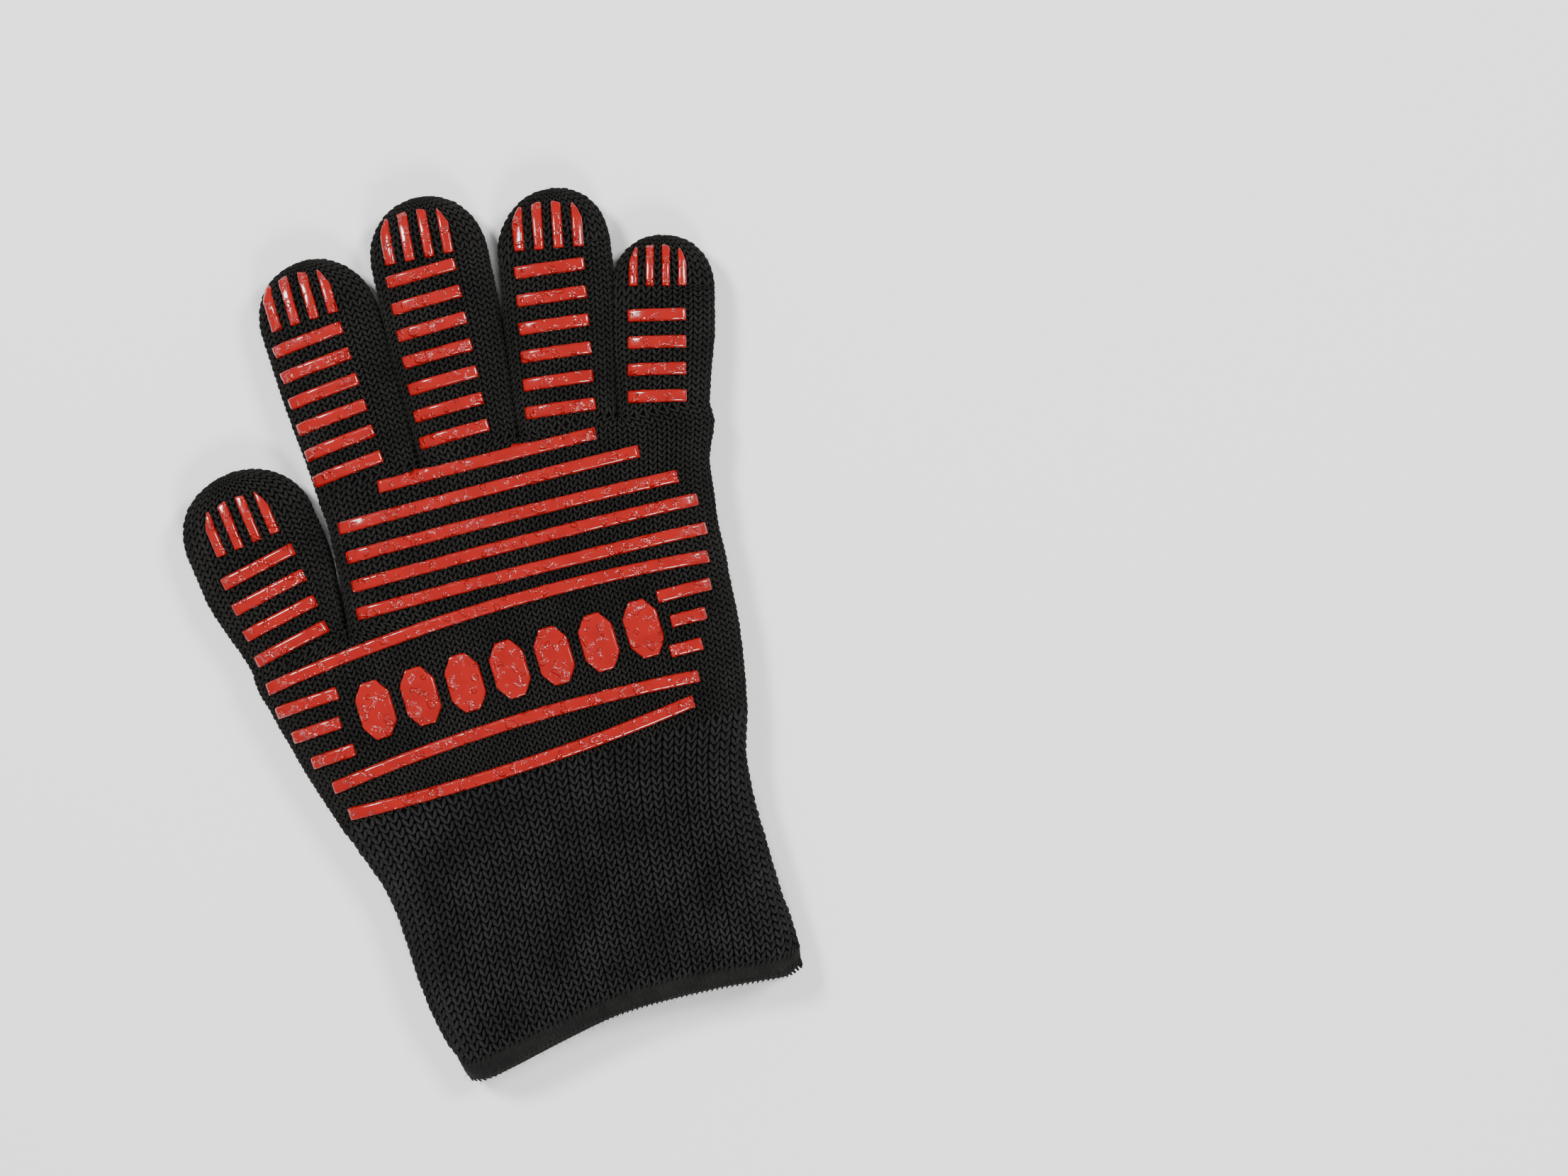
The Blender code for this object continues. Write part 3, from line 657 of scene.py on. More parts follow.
# ---------------------------------------------------------------- the digits
@dataclass(frozen=True)
class Digit:
    """One finger or the thumb."""

    name: str
    root: Point
    lean: float                       # degrees towards +X
    hinge: float                      # slope of its hinges, degrees
    root_wide: float
    wide: float
    length: float
    tip_round: float
    joints: tuple[float, ...]
    segments: tuple[str, ...]
    wales: int
    first_bar: float
    bar_pitch: float
    bar_count: int
    bar_long: float
    bar_turn: float
    bar_side: float
    tip_bars: float                   # middle of the bars on the tip, back from its end
    tip_pitch: float
    tip_long: float
    root_high: float = ROOT_HIGH
    tip_high: float = 16.6
    side: float = 13.5
    course: float = 2.05

    def slope(self, along: float) -> float:
        """Slope of the section at a distance along the digit.

        Args:
            along: the distance.

        Returns:
            Degrees: the hinge's slope near the joints, square to the digit at its tip.
        """
        start = self.joints[-1]
        end = max(self.length - self.tip_round, start + 6.0)
        return self.hinge + (-self.lean - self.hinge) * smooth((along - start) / (end - start))

    def place(self, along: float, across: float, slope: float) -> Point:
        """Find a point of the digit in plan.

        Args:
            along: distance along the digit.
            across: distance across it.
            slope: slope of the line across, degrees.

        Returns:
            The plan point.
        """
        lean, turn = math.radians(self.lean), math.radians(slope)
        stretch = across / math.cos(lean + turn)
        x = self.root[0] + along * math.sin(lean) + stretch * math.cos(turn)
        return x, self.root[1] + along * math.cos(lean) + stretch * math.sin(turn)

    def half_wide(self, along: float) -> float:
        """Half width at a distance along the digit."""
        share = smooth(along / (0.5 * self.length))
        return (self.root_wide + (self.wide - self.root_wide) * share) / 2

    def high(self, along: float) -> float:
        """Height of the palm side at a distance along the digit."""
        return self.root_high + (self.tip_high - self.root_high) * along / self.length

    def ring(self, along: float, shrink: float = 1.0, reach: float = 0.0) -> Array:
        """Lay out one loop of the digit.

        Args:
            along: distance along the digit.
            shrink: share of the section's size, less than 1 where the tip closes.
            reach: how far the loop stands ahead of that distance.

        Returns:
            The loop's points.
        """
        half, high, low = self.half_wide(along), self.high(along), FLOOR_GAP
        cell = profile(Bound(-half, 1.0, self.side), Bound(half, 1.0, self.side), low, high, self.wales)
        middle = (low + high) / 2
        slope = self.slope(along)
        loop = []
        for across, z in closed_ring([cell]):
            x, y = self.place(along + reach, across * shrink, slope)
            loop.append((x, y, middle + (z - middle) * shrink**0.9))
        return np.array(loop)

    def cloth(self, root_ring: Array) -> tuple[Cloth, list[float]]:
        """Lay out the digit's tube.

        Args:
            root_ring: the loop that it shares with the palm.

        Returns:
            The cloth, and the distance of each course along the digit.
        """
        shoulder = self.length - self.tip_round
        count = round(shoulder / self.course)
        rows, places = [root_ring], [0.0]
        for k in range(1, count + 1):
            places.append(shoulder * k / count)
            rows.append(self.ring(places[-1]))
        turns = round(1.18 * self.tip_round / self.course)
        for k in range(1, turns + 1):
            angle = math.radians(89.2 * k / turns)
            reach = self.tip_round * math.sin(angle)
            rows.append(self.ring(shoulder, math.cos(angle) ** 0.92, reach))
            places.append(shoulder + reach)
        cloth = Cloth(np.array(rows), seed=self.root[0])
        cloth.settle(True, False)
        return cloth, places

    def line(self, along: float) -> Point:
        """Plan point on the digit's middle line."""
        return self.place(along, 0.0, self.hinge)

    def zones(self) -> list[tuple[str, float, float, Motion]]:
        """Divide the digit into its pieces.

        Returns:
            For each piece its name, first and last distance, and motion.
        """
        turn = math.radians(self.hinge)
        ahead = (-math.sin(turn), math.cos(turn))
        bodies = ["palm"] + [f"{self.name}_{segment}" for segment in self.segments]
        reach = [0.42 * min(a - b, c - a) for b, a, c in
                 zip((0.0,) + self.joints[:-1], self.joints, self.joints[1:] + (self.length,))]
        starts = [0.0] + [joint - half for joint, half in zip(self.joints, reach)]
        ends = [0.62 * starts[1]] + [joint + half for joint, half in zip(self.joints, reach)]
        zones = []
        for k, segment in enumerate(self.segments):
            last = starts[k + 1] if k + 1 < len(self.segments) else self.length + 1
            first_point = self.line(starts[k])
            bend = (ends[k] - starts[k]) * math.cos(math.radians(self.lean + self.hinge))
            second_point = (first_point[0] + ahead[0] * bend, first_point[1] + ahead[1] * bend)
            motion = Motion(bodies[k], bodies[k + 1], first_point, second_point)
            zones.append((f"{self.name}_{segment}", starts[k], last, motion))
        return zones


THREE = ("proximal", "middle", "tip")
DIGITS = (
    Digit("thumb", (-63.75, 12.4), lean=-6.8, hinge=10.4, root_wide=34.5, wide=44.4, length=65.4,
          tip_round=20.0, joints=(28.5,), segments=("base", "tip"), wales=15,
          first_bar=5.0, bar_pitch=9.3, bar_count=4, bar_long=26.5, bar_turn=11.0, bar_side=-0.7,
          tip_bars=16.4, tip_pitch=6.4, tip_long=16.5),
    Digit("index", (-25.85, 63.5), lean=-0.8, hinge=0.0, root_wide=35.7, wide=39.4, length=75.5,
          tip_round=20.0, joints=(26.5, 53.4), segments=THREE, wales=14,
          first_bar=4.3, bar_pitch=8.98, bar_count=6, bar_long=24.0, bar_turn=4.0, bar_side=-4.4,
          tip_bars=12.2, tip_pitch=6.5, tip_long=16.5),
    Digit("middle", (9.25, 63.5), lean=4.8, hinge=0.0, root_wide=34.5, wide=38.6, length=84.9,
          tip_round=20.0, joints=(27.8, 55.0), segments=THREE, wales=14,
          first_bar=5.0, bar_pitch=9.1, bar_count=7, bar_long=23.4, bar_turn=-1.0, bar_side=-2.9,
          tip_bars=12.4, tip_pitch=6.5, tip_long=16.5),
    Digit("ring", (43.25, 61.5), lean=12.0, hinge=0.0, root_wide=33.5, wide=37.2, length=79.0,
          tip_round=19.5, joints=(28.5, 56.2), segments=THREE, wales=14,
          first_bar=5.2, bar_pitch=9.35, bar_count=6, bar_long=23.0, bar_turn=-8.5, bar_side=-1.4,
          tip_bars=12.8, tip_pitch=6.5, tip_long=16.0),
    Digit("little", (75.25, 57.0), lean=16.2, hinge=-4.0, root_wide=30.5, wide=34.2, length=58.6,
          tip_round=17.0, joints=(17.4, 36.4), segments=THREE, wales=12,
          first_bar=4.4, bar_pitch=9.0, bar_count=4, bar_long=19.0, bar_turn=-15.0, bar_side=-1.6,
          tip_bars=10.8, tip_pitch=5.3, tip_long=13.8),
)
FINGERS = [digit.name for digit in DIGITS if digit.name != "thumb"]


def digit_named(name: str) -> Digit:
    """The digit of that name."""
    return next(digit for digit in DIGITS if digit.name == name)


# ---------------------------------------------------------------- prints
@dataclass(frozen=True)
class Pad:
    """One printed pad: its middle, turn, size and shape."""

    x: float
    y: float
    turn: float
    long: float
    wide: float
    sag: float = 0.0                  # rise of its middle over the line between its ends
    points: float = 1.0               # share of its width left at its two ends along v
    cut: float = 0.0                  # length cut off one far corner, on the side of its sign
    nick: float = 0.45                # radius of its corners

    def at(self, u: float, v: float) -> Point:
        """Find a point of the pad in plan.

        Args:
            u: place along its length, from -1 to 1.
            v: place across its width, from -1 to 1.

        Returns:
            The plan point.
        """
        narrow = 1.0 - (1.0 - self.points) * max(0.0, (abs(v) - 0.5) / 0.5)
        from_end = (1 - abs(u)) * self.long / 2
        from_side = (1 - abs(v)) * self.wide / 2
        across = u * self.long / 2 * narrow
        along = v * self.wide / 2
        if from_end < self.nick and from_side < self.nick:
            deep = self.nick - max(from_end, from_side)
            across -= math.copysign(0.3 * deep, u)
            along -= math.copysign(0.3 * deep, v)
        outward = max(0.0, 0.5 + 0.5 * u * math.copysign(1.0, self.cut))
        along -= abs(self.cut) * outward**1.6 * (0.5 + 0.5 * v)
        along += self.sag * (1 - u * u)
        c, s = math.cos(math.radians(self.turn)), math.sin(math.radians(self.turn))
        return self.x + across * c - along * s, self.y + across * s + along * c


@dataclass
class PrintScreen:
    """Lays silicone pads on cloths."""

    cloths: list[Cloth]
    high: float = 1.6                 # top of a pad over the cloth's mean surface
    soak: float = 0.35                # its edge over that surface
    edge_round: float = 0.5           # how far in from its edge a pad reaches its height
    ragged_band: float = 0.3          # how far in from its edge a pad is ragged
    lumpy: float = 0.07
    step: Point = (0.9, 0.8)          # longest grid steps, along and across a pad
    tree: BVHTree = field(init=False)

    def __post_init__(self) -> None:
        """Remember the surfaces to print on."""
        points, faces, base = [], [], 0
        for cloth in self.cloths:
            flat, tri = wall(cloth.points, cloth.sunk(0.5), False)
            points.append(flat)
            faces.append(tri + base)
            base += len(flat)
        self.tree = BVHTree.FromPolygons(np.concatenate(points).tolist(), np.concatenate(faces).tolist())

    def lay(self, pads: list[Pad]) -> Solid:
        """Build pads on the cloths.

        Args:
            pads: the pads.

        Returns:
            Points in millimetres, and triangles.
        """
        points, faces = [], []
        for pad in pads:
            bm = bmesh.new()
            steps, ribs = (max(6, round(size / step)) for size, step in zip((pad.long, pad.wide), self.step))
            bmesh.ops.create_grid(bm, x_segments=steps, y_segments=ribs, size=1.0)
            for vert in bm.verts:
                self.place(vert, pad)
            bmesh.ops.triangulate(bm, faces=bm.faces)
            base = len(points)
            points += [tuple(v.co) for v in bm.verts]
            faces += [tuple(base + v.index for v in f.verts) for f in bm.faces]
            bm.free()
        return np.array(points), np.array(faces)

    @staticmethod
    def crowd(share: float, size: float) -> float:
        """Move a grid place towards the edges, so that the last two steps are short."""
        power = 1.0 if size > 25.0 else 0.62
        return math.copysign(1 - (1 - abs(share)) ** (1 / power), share) if power < 1 else share

    def place(self, vert: bmesh.types.BMVert, pad: Pad) -> None:
        """Move one grid vertex to its place on the cloth.

        Args:
            vert: the vertex, from -1 to 1 along and across the pad.
            pad: the pad.
        """
        u = self.crowd(vert.co.x, pad.long)
        v = self.crowd(vert.co.y, pad.wide)
        edge = min((1 - abs(u)) * pad.long / 2, (1 - abs(v)) * pad.wide / 2)
        x, y = pad.at(u, v)
        ragged = noise.noise(Vector((x / 1.6, y / 1.6, 2.0)))
        if edge < self.ragged_band:
            y += 0.22 * ragged * math.copysign(1.0, v)
            x += 0.15 * noise.noise(Vector((x / 1.3, y / 1.3, 9.0)))
        lump = noise.noise(Vector((x / 1.9, y / 1.9, 5.0)))
        lump += 0.5 * noise.noise(Vector((x / 5.0, y / 5.0, 1.0)))
        rise = min(1.0, edge / self.edge_round)
        rise = math.sqrt(max(0.0, 1 - (1 - rise) ** 2))
        hit = self.tree.ray_cast(Vector((x, y, 60.0)), Vector((0.0, 0.0, -1.0)))
        ground = hit[0].z if hit[0] is not None else 9.0
        normal = hit[1] if hit[0] is not None else Vector((0.0, 0.0, 1.0))
        if normal.z < 0:
            normal = -normal
        tall = self.soak + (self.high - self.soak) * rise + self.lumpy * lump * rise
        vert.co = Vector((x, y, ground)) + normal * tall


# ---------------------------------------------------------------- the palm
def knot_slope(knots: Knots, i: int) -> float:
    """Slope at a knot, from its neighbours."""
    low, high = knots[max(i - 1, 0)], knots[min(i + 1, len(knots) - 1)]
    return (high[1] - low[1]) / (high[0] - low[0])


def along_knots(knots: Knots, y: float) -> float:
    """Pass smoothly through a few knots.

    Args:
        knots: pairs of y and value, rising in y.
        y: where the value is wanted.

    Returns:
        The value.
    """
    if y <= knots[0][0]:
        return knots[0][1]
    if y >= knots[-1][0]:
        return knots[-1][1]
    k = max(i for i in range(len(knots) - 1) if knots[i][0] <= y)
    (from_y, start), (to_y, end) = knots[k], knots[k + 1]
    step = to_y - from_y
    t = (y - from_y) / step
    t2, t3 = t * t, t * t * t
    return ((2 * t3 - 3 * t2 + 1) * start + (t3 - 2 * t2 + t) * step * knot_slope(knots, k)
            + (3 * t2 - 2 * t3) * end + (t3 - t2) * step * knot_slope(knots, k + 1))


def shares(rows: float) -> list[float]:
    """Even shares from 0 to 1, for about that many rows."""
    return [k / round(rows) for k in range(round(rows) + 1)]


def crease(share: float) -> float:
    """How far the crease between two digits has opened, at a share of the palm."""
    return max(0.0, (share - CREASE_FROM) / (1.0 - CREASE_FROM))


@dataclass
class Palm:
    """The palm: a wide tube that splits into the thumb, and then into the four fingers."""

    wrist_y: float = -46.0
    split_y: float = 15.6
    last_y: float = 60.0              # mean height of the finger roots
    root_y: float = 63.5
    low: float = FLOOR_GAP
    high: float = 20.2
    edge: float = 18.0
    wales: int = 11
    course: float = 2.05
    left: Knots = ((-46.0, -67.2), (-30.0, -71.8), (-10.0, -76.4), (12.0, -81.0))
    upper_left: Knots = ((15.6, -46.5), (32.0, -44.2), (46.0, -43.3), (63.5, -43.7))
    right: Knots = (
        (-46.0, 73.8), (-20.0, 78.4), (0.0, 80.6), (20.0, 82.2), (40.0, 85.0), (50.0, 88.4), (56.0, 90.5))
    wrist_shares: tuple[float, ...] = (0.0, 0.205, 0.4, 0.6, 0.8, 1.0)
    split_bounds: tuple[float, ...] = (-46.5, -12.0, 21.0, 51.0, 82.0)
    root_bounds: tuple[float, ...] = (-43.7, -8.0, 26.5, 60.0, 90.5)
    root_knots: Knots = (
        (-60.0, 63.5), (22.0, 63.5), (31.0, 61.6), (55.0, 61.3), (64.0, 57.9), (92.0, 55.8))
    heel: Cloth = field(init=False)
    upper: Cloth = field(init=False)

    def __post_init__(self) -> None:
        """Lay out both halves of the palm."""
        self.heel = self.make_heel()
        self.upper = self.make_upper()

    def thumb_line(self, x: float) -> float:
        """Plan y where the palm ends below the thumb."""
        thumb = digit_named("thumb")
        return thumb.root[1] + (x - thumb.root[0]) * math.tan(math.radians(thumb.hinge))

    def root_line(self, x: float) -> float:
        """Plan y where the palm ends below the fingers."""
        return float(np.interp(x, [k[0] for k in self.root_knots], [k[1] for k in self.root_knots]))

    def split_line(self, x: float) -> float:
        """Plan y of the row where the thumb leaves, across the whole palm."""
        return self.thumb_line(x) if x < self.split_bounds[0] else self.split_y

    def split_line_below(self, x: float) -> float:
        """Plan y of the split row, on the thumb's side of the crotch."""
        return self.thumb_line(min(x, self.split_bounds[0]))

    def heel_bounds(self, share: float) -> list[Bound]:
        """Find the sides of the five cells below the thumb split.

        Args:
            share: place of the row, from the wrist at 0 to the split at 1.

        Returns:
            The six sides, from left to right.
        """
        y = self.wrist_y + (self.split_y - self.wrist_y) * share
        left, right = along_knots(self.left, y), along_knots(self.right, y)
        wrist = [left + (right - left) * s for s in self.wrist_shares]
        split = [left, *self.split_bounds[:-1], right]
        places = [a + (b - a) * smooth(share) for a, b in zip(wrist, split)]
        open_by = crease(share)
        bounds = [Bound(places[0], 1.0, self.edge), Bound(places[1], open_by, 4.0 + 8.0 * open_by)]
        bounds += [Bound(x, 0.0, 5.0) for x in places[2:-1]]
        return bounds + [Bound(places[-1], 1.0, self.edge)]

    def upper_bounds(self, share: float) -> list[Bound]:
        """Find the sides of the four cells above the thumb split.

        Args:
            share: place of the row, from the split at 0 to the finger roots at 1.

        Returns:
            The five sides, from left to right.
        """
        y = self.split_y + (self.root_y - self.split_y) * share
        left, right = along_knots(self.upper_left, y), along_knots(self.right, min(y, 56.0))
        places = [a + (b - a) * share for a, b in zip(self.split_bounds, self.root_bounds)]
        open_by = crease(share)
        bounds = [Bound(left, 1.0, 12.0 + 1.5 * share)]
        bounds += [Bound(x, open_by, 3.5 + 10.0 * open_by) for x in places[1:-1]]
        return bounds + [Bound(right, 1.0, self.edge + (13.5 - self.edge) * share)]

    def row(self, bounds: list[Bound], high: float, line: Line, wales: int) -> Array:
        """Lay out one row of the palm as a closed loop.

        Args:
            bounds: sides of the cells.
            high: height of the palm side.
            line: plan y of the row at a plan x.
            wales: wales across each cell.

        Returns:
            The loop's points.
        """
        cells = [profile(a, b, self.low, high, wales) for a, b in zip(bounds, bounds[1:])]
        return np.array([(x, line(x), z) for x, z in closed_ring(cells)])

    @staticmethod
    def between(start: float, line: Line, share: float) -> Line:
        """The line at a share of the way from a straight row to another line."""
        return lambda x: start + (line(x) - start) * share

    def make_heel(self) -> Cloth:
        """Lay out the cloth between the wrist and the thumb split.

        Returns:
            The cloth.
        """
        rows = []
        for share in shares((self.split_y - self.wrist_y) / self.course):
            line = self.between(self.wrist_y, self.split_line, share)
            rows.append(self.row(self.heel_bounds(share), self.high, line, self.wales))
        return Cloth(np.array(rows), ruffle=0.6, seed=11.0)

    def make_upper(self) -> Cloth:
        """Lay out the cloth between the thumb split and the finger roots.

        Returns:
            The cloth.
        """
        rows = []
        for share in shares((self.last_y - self.split_y) / self.course):
            line = self.between(self.split_y, self.root_line, share)
            high = self.high + (ROOT_HIGH - self.high) * smooth((share - 0.4) / 0.6)
            rows.append(self.row(self.upper_bounds(share), high, line, self.wales))
        return Cloth(np.array(rows), ruffle=0.6, seed=11.0)

    def root_ring(self, digit: Digit) -> Array:
        """Lay out the loop that a digit shares with the palm.

        Args:
            digit: the digit, whose own wales the loop has.

        Returns:
            The loop's points.
        """
        if digit.name == "thumb":
            return self.row(self.heel_bounds(1.0)[:2], self.high, self.split_line_below, digit.wales)
        k = FINGERS.index(digit.name)
        return self.row(self.upper_bounds(1.0)[k:k + 2], ROOT_HIGH, self.root_line, digit.wales)


# ---------------------------------------------------------------- the cuff
@dataclass
class Cuff:
    """The cuff, from the wrist to its bound mouth."""

    top: float = -46.0
    wales: int = 36                   # across each face
    course: float = 2.75
    count_y: float = -136.0           # the courses are counted down to here
    mouth_y: float = -141.0
    low: float = FLOOR_GAP
    high: float = 20.2
    edge: float = 17.0
    slant: float = 0.12               # sideways drift of the wales for each millimetre of height
    left: Knots = (
        (-141.0, -49.6), (-135.0, -52.2), (-125.0, -54.6), (-112.0, -56.2), (-80.0, -57.8), (-68.0, -59.8),
        (-58.0, -63.0), (-46.0, -67.2))
    right: Knots = (
        (-141.0, 66.4), (-130.0, 67.6), (-112.0, 67.2), (-80.0, 67.2), (-68.0, 68.4), (-58.0, 70.2),
        (-46.0, 73.8))
    mouth: Knots = (
        (-51.0, -134.2), (-48.0, -137.0), (-43.0, -137.4), (-36.0, -136.2), (-20.0, -133.2),
        (0.0, -129.8), (20.0, -129.4), (40.0, -130.8), (56.0, -132.6), (62.0, -132.9), (66.5, -130.2))
    bend: tuple[Point, Point] = ((3.9, -74.0), (3.9, -46.0))
    lip_drop: float = 2.4             # the back of the mouth reaches lower than the front
    cloth: Cloth = field(init=False)

    def __post_init__(self) -> None:
        """Lay out the cuff."""
        rows = [self.row(share) for share in shares((self.top - self.count_y) / self.course)]
        self.cloth = Cloth(np.array(rows)[::-1], ruffle=0.8, seed=23.0)

    def row(self, share: float) -> Array:
        """Lay out one row of the cuff.

        Args:
            share: place of the row, from the wrist at 0 to the mouth at 1.

        Returns:
            The loop's points.
        """
        y = self.top + (self.mouth_y - self.top) * share
        left, right = along_knots(self.left, y), along_knots(self.right, y)
        high = self.high + 1.0 * smooth(share * 1.5) - 3.0 * smooth((share - 0.7) / 0.3)
        cell = profile(Bound(left, 1.0, self.edge), Bound(right, 1.0, self.edge), self.low, high, self.wales)
        loop = closed_ring([cell])
        middle = (self.low + high) / 2
        drift = self.slant * (self.top - y) * 2 * self.wales / (2.1 * (right - left))
        whole = math.floor(drift)
        part = drift - whole
        loop = np.roll(loop, whole, axis=0) * (1 - part) + np.roll(loop, whole + 1, axis=0) * part
        points = []
        for x, z in loop:
            mouth = along_knots(self.mouth, x)
            down = self.lip_drop * smooth((middle - z) / 6.0 + 0.5) * share**3
            points.append((x, self.top + (mouth - down - self.top) * share, z))
        return np.array(points)


# ---------------------------------------------------------------- bars and studs
PALM_BARS = {                         # left end, a point between, right end
    "palm_bar_1": ((-22.5, 58.9), (15.0, 57.4), (52.0, 55.6)),
    "palm_bar_2": ((-39.0, 49.3), (12.0, 48.0), (64.0, 45.8)),
    "palm_bar_3": ((-39.0, 39.3), (18.0, 37.4), (74.0, 34.2)),
    "palm_bar_4": ((-40.0, 29.6), (18.0, 28.0), (78.0, 25.2)),
    "palm_bar_5": ((-41.0, 20.4), (18.0, 18.4), (78.0, 15.2)),
    "palm_bar_6": ((-77.0, 5.0), (-22.0, 9.8), (76.0, 6.0)),
    "palm_bar_7": ((-65.0, -32.6), (0.0, -28.4), (62.0, -31.2)),
    "palm_bar_8": ((-62.5, -42.3), (0.0, -43.0), (58.0, -38.6)),
}
SHORT_BARS = {                        # turn, then x, y and length of each bar
    "thumb_side_bars": (2.0, ((-65.0, -3.0, 21.5), (-64.5, -12.5, 17.0), (-61.5, -22.4, 15.0))),
    "little_side_bars": (-2.0, ((65.0, -2.6, 18.0), (64.0, -11.6, 12.0), (60.5, -21.0, 11.0))),
}


@dataclass(frozen=True)
class StudRow:
    """The row of eight-sided grip studs across the palm."""

    count: int = 7
    x: float = 2.5
    y: float = -11.3
    pitch: float = 15.4
    rise: float = 0.1
    long: float = 11.8
    wide: float = 19.5
    points: float = 0.42

    def pads(self) -> list[Pad]:
        """Place the studs.

        Returns:
            The studs, from left to right.
        """
        places = [k - self.count // 2 for k in range(self.count)]
        return [Pad(self.x + k * self.pitch, self.y + k * self.rise, 0.0, self.long, self.wide,
                    points=self.points) for k in places]


def bent_bar(left: Point, middle: Point, right: Point) -> Pad:
    """Lay a long bar through three points, as one pad with a bow.

    Args:
        left: its left end.
        middle: a point between its ends.
        right: its right end.

    Returns:
        The pad.
    """
    run, climb = right[0] - left[0], right[1] - left[1]
    share = (middle[0] - left[0]) / run
    chord = left[1] + climb * share
    return Pad((left[0] + right[0]) / 2, (left[1] + right[1]) / 2, math.degrees(math.atan2(climb, run)),
               math.hypot(run, climb), BAR_WIDE, sag=(middle[1] - chord) / max(1 - (2 * share - 1) ** 2, 0.3))


# ---------------------------------------------------------------- assembly
TAPE_FOLD = ((0.1, 4.6), (0.85, 4.2), (1.25, 2.6), (1.25, 0.6), (0.85, -0.9), (-0.6, -1.6), (-2.6, -1.6),
             (-4.2, -0.6), (-4.8, 1.0), (-4.9, 4.6))     # the tape's section, out of the cloth and up


def doubled(rows: Array) -> Array:
    """Closed rows of points with a new point between every two."""
    after = (rows + np.roll(rows, -1, axis=1)) / 2
    return np.stack((rows, after), axis=2).reshape(rows.shape[0], -1, 3)


